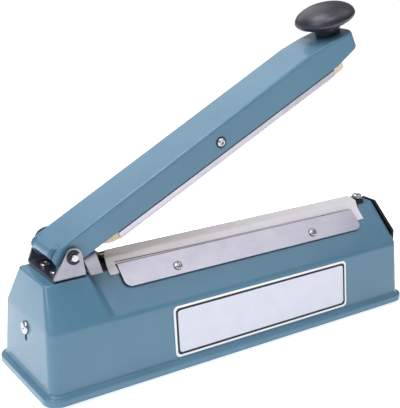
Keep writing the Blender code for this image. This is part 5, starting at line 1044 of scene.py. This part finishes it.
turnedPieces = {}  # node: place, axis, radius and height pairs in mm round it, the rounding at each inner corner
for node, place, half, rounds in (  # two pins whose far half is the mirror image of the near one
        ("hinge_pin", (places["pin"][0], 0, places["pin"][1]),
         [(0, -24.5), (2.45, -24.5), (2.45, -23.3), (1.85, -23.3), (1.85, -22.1), (2.45, -22.1)],
         (0.4, 0.05, 0.05, 0.05, 0.05)),
        ("pivot_rivet", (arm["pivot"][0], 0, arm["pivot"][1]),
         [(0, -18.8), (1.0, -18.8), (1.3, -20.07), (2.1, -20.07), (3.2, -19.0), (3.2, -18.55), (2.0, -18.55)],
         (0.1, 0.25, 0.3, 0.15, 0.05, 0.05))):
    turnedPieces[node] = (place, toBack, half + [(r, -z) for r, z in half[::-1]], rounds + rounds[::-1])
turnedPieces.update({
    "terminal_post": ((postX, 0, 0), up, [(0, 77.5), (2.4, 77.5), (2.4, 82.6), (1.6, 82.6), (1.6, 78.8), (0, 78.8)],
                      (0.2, 0.25, 0.1, 0.05)),
    "push_rod": ((places["rod"], 0, 0), up,
                 [(0, 64.91), (1.8, 64.91), (1.8, 72.4), (3.0, 72.4), (3.0, 73.6), (1.8, 73.6), (1.8, 103.53),
                  (4.3, 103.53), (4.3, 104.93), (2.2, 106.0), (0, 106.04)],
                 (0.3, 0.1, 0.3, 0.3, 0.1, 0.1, 0.25, 0.45, 1.6)),
    "terminal_washer": ((blockX, 0, 0), up, [(1.6, 79.5), (4.3, 79.5), (4.3, 80.1), (1.6, 80.1), (1.6, 79.5)],
                        (0.12, 0.12, 0.05)),
    "indicator_lamp": ((158.03, 0, places["lamp"]), toRight,
                       [(0, -9.0), (3.6, -9.0), (3.6, 0), (4.5, 0), (4.5, 0.9), (3.9, 1.0), (3.6, 2.2), (2.2, 2.85),
                        (0, 2.9)], (0.3, 0.1, 0.1, 0.2, 0.1, 0.6, 1.2)),
    "cord_inlet": ((118.0, 40.173, 24.0), (0, -0.99574, -0.09221),
                   [(3.7, -2.3), (5.1, -2.3), (7.6, -0.97), (7.6, -0.3), (5.1, -0.3), (5.1, 2.1), (7.6, 2.1),
                    (7.6, 3.1), (5.1, 4.1), (3.7, 4.1), (3.7, -2.3)], (0.5, 0.25, 0.1, 0.1, 0.1, 0.1, 0.4, 0.6, 0.4)),
})
for number, (sx, sy) in enumerate(fourCorners, 1):
    turnedPieces[f"foot_{number}"] = (
        (sx * footX, sy * footY, 0), up,
        [(1.8, 0.7), (5.7, 0.7), (6.5, -0.1), (5.7, -2.5), (3.4, -2.5), (3.4, -0.3), (1.8, -0.3), (1.8, 0.7)],
        (0.3, 0.4, 0.7, 0.4, 0.2, 0.1))
for node, (place, axis, outline, rounds) in turnedPieces.items():  # corners become arcs before the profile is turned
    closed = outline[0] == outline[-1]
    profile = roundPath(outline, rounds, 5)
    standFor(node, aimed(turnedGrid(profile[:-1] if closed else profile, 56), place, axis),
             armSpace if node == "pivot_rivet" else bodySpace, closedRows=closed, sharpest=45)
rivetShadowRing = {"section": [(2.9, 0), (4.2, 0), (4.2, 0.27), (2.9, 0.27)], "at": 18.27}
for name, side in sides:  # a thin black ring round each head of the rivet: painted shadow of the gap under the head
    grid = aimed(turnedGrid(rivetShadowRing["section"], 56), (arm["pivot"][0], side * rivetShadowRing["at"], arm["pivot"][1]),
                 (0, side, 0))
    addPiece("rivetGapShadow_" + name, grid, "arm", "black_rubber", armSpace, closedRows=True)
print("turned", len(turnedPieces), "pieces")

clip = {"inner": 2.05, "outer": 4.9, "hollow": 1.15, "gap": math.radians(38), "near": 22.3, "far": 23.1,
        "prongs": (math.radians(58), math.radians(180), math.radians(302)), "prongWide": math.radians(17),
        "prongEase": 0.16, "notch": (0.25, 0.3)}


def makeClips():  # stamped E-clips: the inner edge comes in to the pin at three prongs and hangs back between them
    c = clip
    turn = np.linspace(c["gap"], 2 * math.pi - c["gap"], 121)
    nearest = np.min([np.abs(turn - prong) for prong in c["prongs"]], axis=0)
    inner = c["inner"] + c["hollow"] * eased(ramp(nearest - c["prongWide"], 0, c["prongEase"]))
    notchDeep, notchWide = c["notch"]
    outer = c["outer"] - notchDeep * np.exp(-((turn - math.pi) / notchWide) ** 2)
    outline = np.vstack([np.stack([outer * np.cos(turn), outer * np.sin(turn)], 1),
                         np.stack([inner * np.cos(turn), inner * np.sin(turn)], 1)[::-1]]) + places["pin"]
    for name, side in sides:
        piece = standFor("pin_clip_" + name, drawnOut(outline, side * c["near"], side * c["far"], alongY))
        easeEdges(piece, 0.12, 2, 50)


makeClips()

dial = {"face": 158.5, "low": 0.8, "skirtHigh": 3.8, "high": 13.8, "skirt": 10.5, "grip": 7.8, "flutes": 12,
        "flute": 0.7, "dish": 0.5, "recess": (4.85, 1.1), "bore": (3.15, 10.8), "columns": 240,
        "fluteFrom": (0.3, 0.8), "fluteAt": (-2.0, -1.2),
        "marks": (("dialPointer", 3.0, 3.6, 13.3, 0.08), ("dialMark", 1.0, 9.1, 3.8, 0.06)), "markHalf": 0.45}


def makeDial():  # a moulded dial: plain skirt, a grip whose radius dips in rounded flutes, a dished top
    d = dial
    grip, dished = d["grip"], d["high"] - d["dish"]
    profile = roundPath([(0, d["low"]), (d["skirt"], d["low"]), (d["skirt"], d["skirtHigh"]), (grip, d["skirtHigh"]),
                         (grip - 0.25, d["high"]), (grip - 1.6, d["high"]), (grip - 2.2, dished), (0, dished)],
                        (0.2, 0.6, 0.4, 0.8, 0.3, 0.4), 5)
    grid = turnedGrid(profile, d["columns"])
    turn = np.linspace(0, 2 * math.pi, d["columns"], endpoint=False)
    wave = (0.5 + 0.5 * np.cos(turn * d["flutes"])) ** 1.6
    height, radius = grid[..., 2], np.linalg.norm(grid[..., :2], axis=-1)
    on = ramp(height - d["skirtHigh"], *d["fluteFrom"]) * ramp(radius - grip, *d["fluteAt"])
    grid[..., :2] *= (1 - d["flute"] * wave[None, :] * on / np.maximum(radius, 1.0))[..., None]
    place = (d["face"], 0, places["dial"])
    piece = standFor("timer_dial", aimed(grid, place, toRight), sharpest=45)
    carve(piece, [rod(radius, place, toRight, -2, deep) for radius, deep in (d["recess"], d["bore"])])
    soften(piece.data, 45)
    for name, half, out, level, thick in d["marks"]:
        outline = roundedBox(d["markHalf"], half, 0.4, 4) + (0, out + places["dial"])
        addPiece(name, drawnOut(outline, d["face"] + level, d["face"] + level + thick, alongX), "timer", "whiteInk")


makeDial()

scale = {"numbers": 8, "from": -150, "to": 150, "tickIn": 11.6, "tickOut": 13.0, "tickHalf": 0.2, "numberAt": 15.6,
         "size": 3.6, "thick": 0.04}


def makeScale():  # plain ticks and numbers round the dial, as thin raised ink
    s = scale
    for number in range(s["numbers"]):
        turn = math.radians(s["from"] + (s["to"] - s["from"]) * number / (s["numbers"] - 1))
        out = np.array([math.sin(turn), math.cos(turn)])
        side = np.array([out[1], -out[0]]) * s["tickHalf"]
        flat = np.array([out * s["tickIn"] - side, out * s["tickOut"] - side, out * s["tickOut"] + side,
                         out * s["tickIn"] + side]) + (0, places["dial"])
        addPiece(f"scaleTick_{number + 1}", np.stack([panelPoint(*flat.T, level) for level in (0.0, s["thick"])]),
                 "base", "whiteInk")
        letters = bpy.data.curves.new("letters", "FONT")
        letters.body = str(number + 1)
        letters.size, letters.extrude = s["size"], s["thick"] / 2
        letters.align_x, letters.align_y = "CENTER", "CENTER"
        holder = addObject("letters", letters)
        mesh = evaluated(holder)
        bpy.data.objects.remove(holder, do_unlink=True)
        y, z, level = (meshPoints(mesh) + np.array([*(out * s["numberAt"]), s["thick"] / 2])).T
        moved = bodySpace(panelPoint(y, z + places["dial"], level))
        mesh.vertices.foreach_set("co", moved.astype(np.float32).ravel())
        mesh.name = f"scaleNumber_{number + 1}"
        placePiece(f"scaleNumber_{number + 1}", mesh, "base", "whiteInk")


makeScale()
print("clips, dial and scale made")

coil = {"x": 60.0, "halfX": 8.3, "halfY": 11.3, "wall": 7.2, "low": 10.8, "high": 34.2, "turns": 22, "corner": 2.0,
        "groove": 0.22, "layers": 25, "layerStep": 0.25}


def makeCoil():  # wound wire: the outside follows a half circle per turn, and the ends step in layer by layer
    c = coil
    height = np.linspace(0, 1, c["turns"] * 8 + 1)
    scallop = np.abs(np.sin(height * c["turns"] * math.pi))
    outer = c["wall"] - c["groove"] * (1 - scallop)
    level = c["low"] + (c["high"] - c["low"]) * height
    layers = np.linspace(c["wall"], 0.0, c["layers"])[1:]
    step = c["layerStep"] * (1 - np.abs(np.sin(np.linspace(0, 8, c["layers"])[1:] * math.pi)))
    offsets = np.concatenate([outer, layers, layers[::-1]])
    heights = np.concatenate([level, c["high"] - step, c["low"] + step[::-1]])
    rings = []
    for out, high in zip(offsets, heights):
        outline = roundedBox(c["halfX"] + out, c["halfY"] + out, max(0.4, c["corner"] + out * 0.8), 8)
        rings.append(np.column_stack([outline + (c["x"], 0), np.full(len(outline), high)]))
    standFor("transformer_coil", np.array(rings), closedRows=True, sharpest=70)


makeCoil()

plate = {"left": -61.6, "right": 97.4, "low": 0.1, "high": 37.6, "corner": 3.5, "thick": 0.45, "gap": 0.05,
         "lineAt": 1.6, "lineWide": 1.7, "ink": 0.03}


def makeFrontPlate():  # a bare lacquered plate on the front wall: white margin, black line, pale face
    p = plate
    rise = unit(np.array([roof["kinkHalf"] - housing["footHalf"], roof["kink"] - housing["foot"]]))
    halfA, halfB = (p["right"] - p["left"]) / 2, (p["high"] - p["low"]) / 2
    centre = np.array([(p["right"] + p["left"]) / 2, (p["high"] + p["low"]) / 2])

    def onWall(points):  # x, mm up the wall from its foot, and mm out from it
        x, high, out = np.moveaxis(points, -1, 0)
        return np.stack([x, -(housing["footHalf"] + high * rise[0]) - out * rise[1],
                         housing["foot"] + high * rise[1] - out * rise[0]], -1)

    top = p["gap"] + p["thick"]
    for name, inset, low, high, slotName in (
            ("frontPlate", 0, p["gap"], top, "plateWhite"),
            ("frontPlateLine", p["lineAt"], top, top + p["ink"], "blackInk"),
            ("frontPlateFace", p["lineAt"] + p["lineWide"], top + p["ink"], top + 2 * p["ink"], "platePrint")):
        outline = roundedBox(halfA - inset, halfB - inset, p["corner"] - inset * 0.35, 12) + centre
        piece = addPiece(name, drawnOut(outline, low, high, onWall), "base", slotName)
        if inset == 0:
            easeEdges(piece, 0.12, 2, 50)


makeFrontPlate()

for node, solid in cadNodes.items():  # solids that keep their own mesh get their finish
    if node not in stoodFor:
        solid.data.materials.clear()
        solid.data.materials.append(finishes[slotOf[node]])

floorMesh = bpy.data.meshes.new("floorSheet")
half, low = floorSetup["half"], cadBox[0][2]
floorMesh.from_pydata([(-half, -half, low), (half, -half, low), (half, half, low), (-half, half, low)], [],
                      [(0, 1, 2, 3)])
floorSheet = addObject("floorSheet", floorMesh)
floorFinish = bpy.data.materials.new("whiteCard")
floorFinish.use_nodes = True
card = floorFinish.node_tree.nodes["Principled BSDF"]
card.inputs["Base Color"].default_value = linear(floorSetup["colour"])
card.inputs["Roughness"].default_value = floorSetup["rough"]
card.inputs["Emission Color"].default_value = linear(floorSetup["colour"])
card.inputs["Emission Strength"].default_value = floorSetup["glow"]
floorMesh.materials.append(floorFinish)
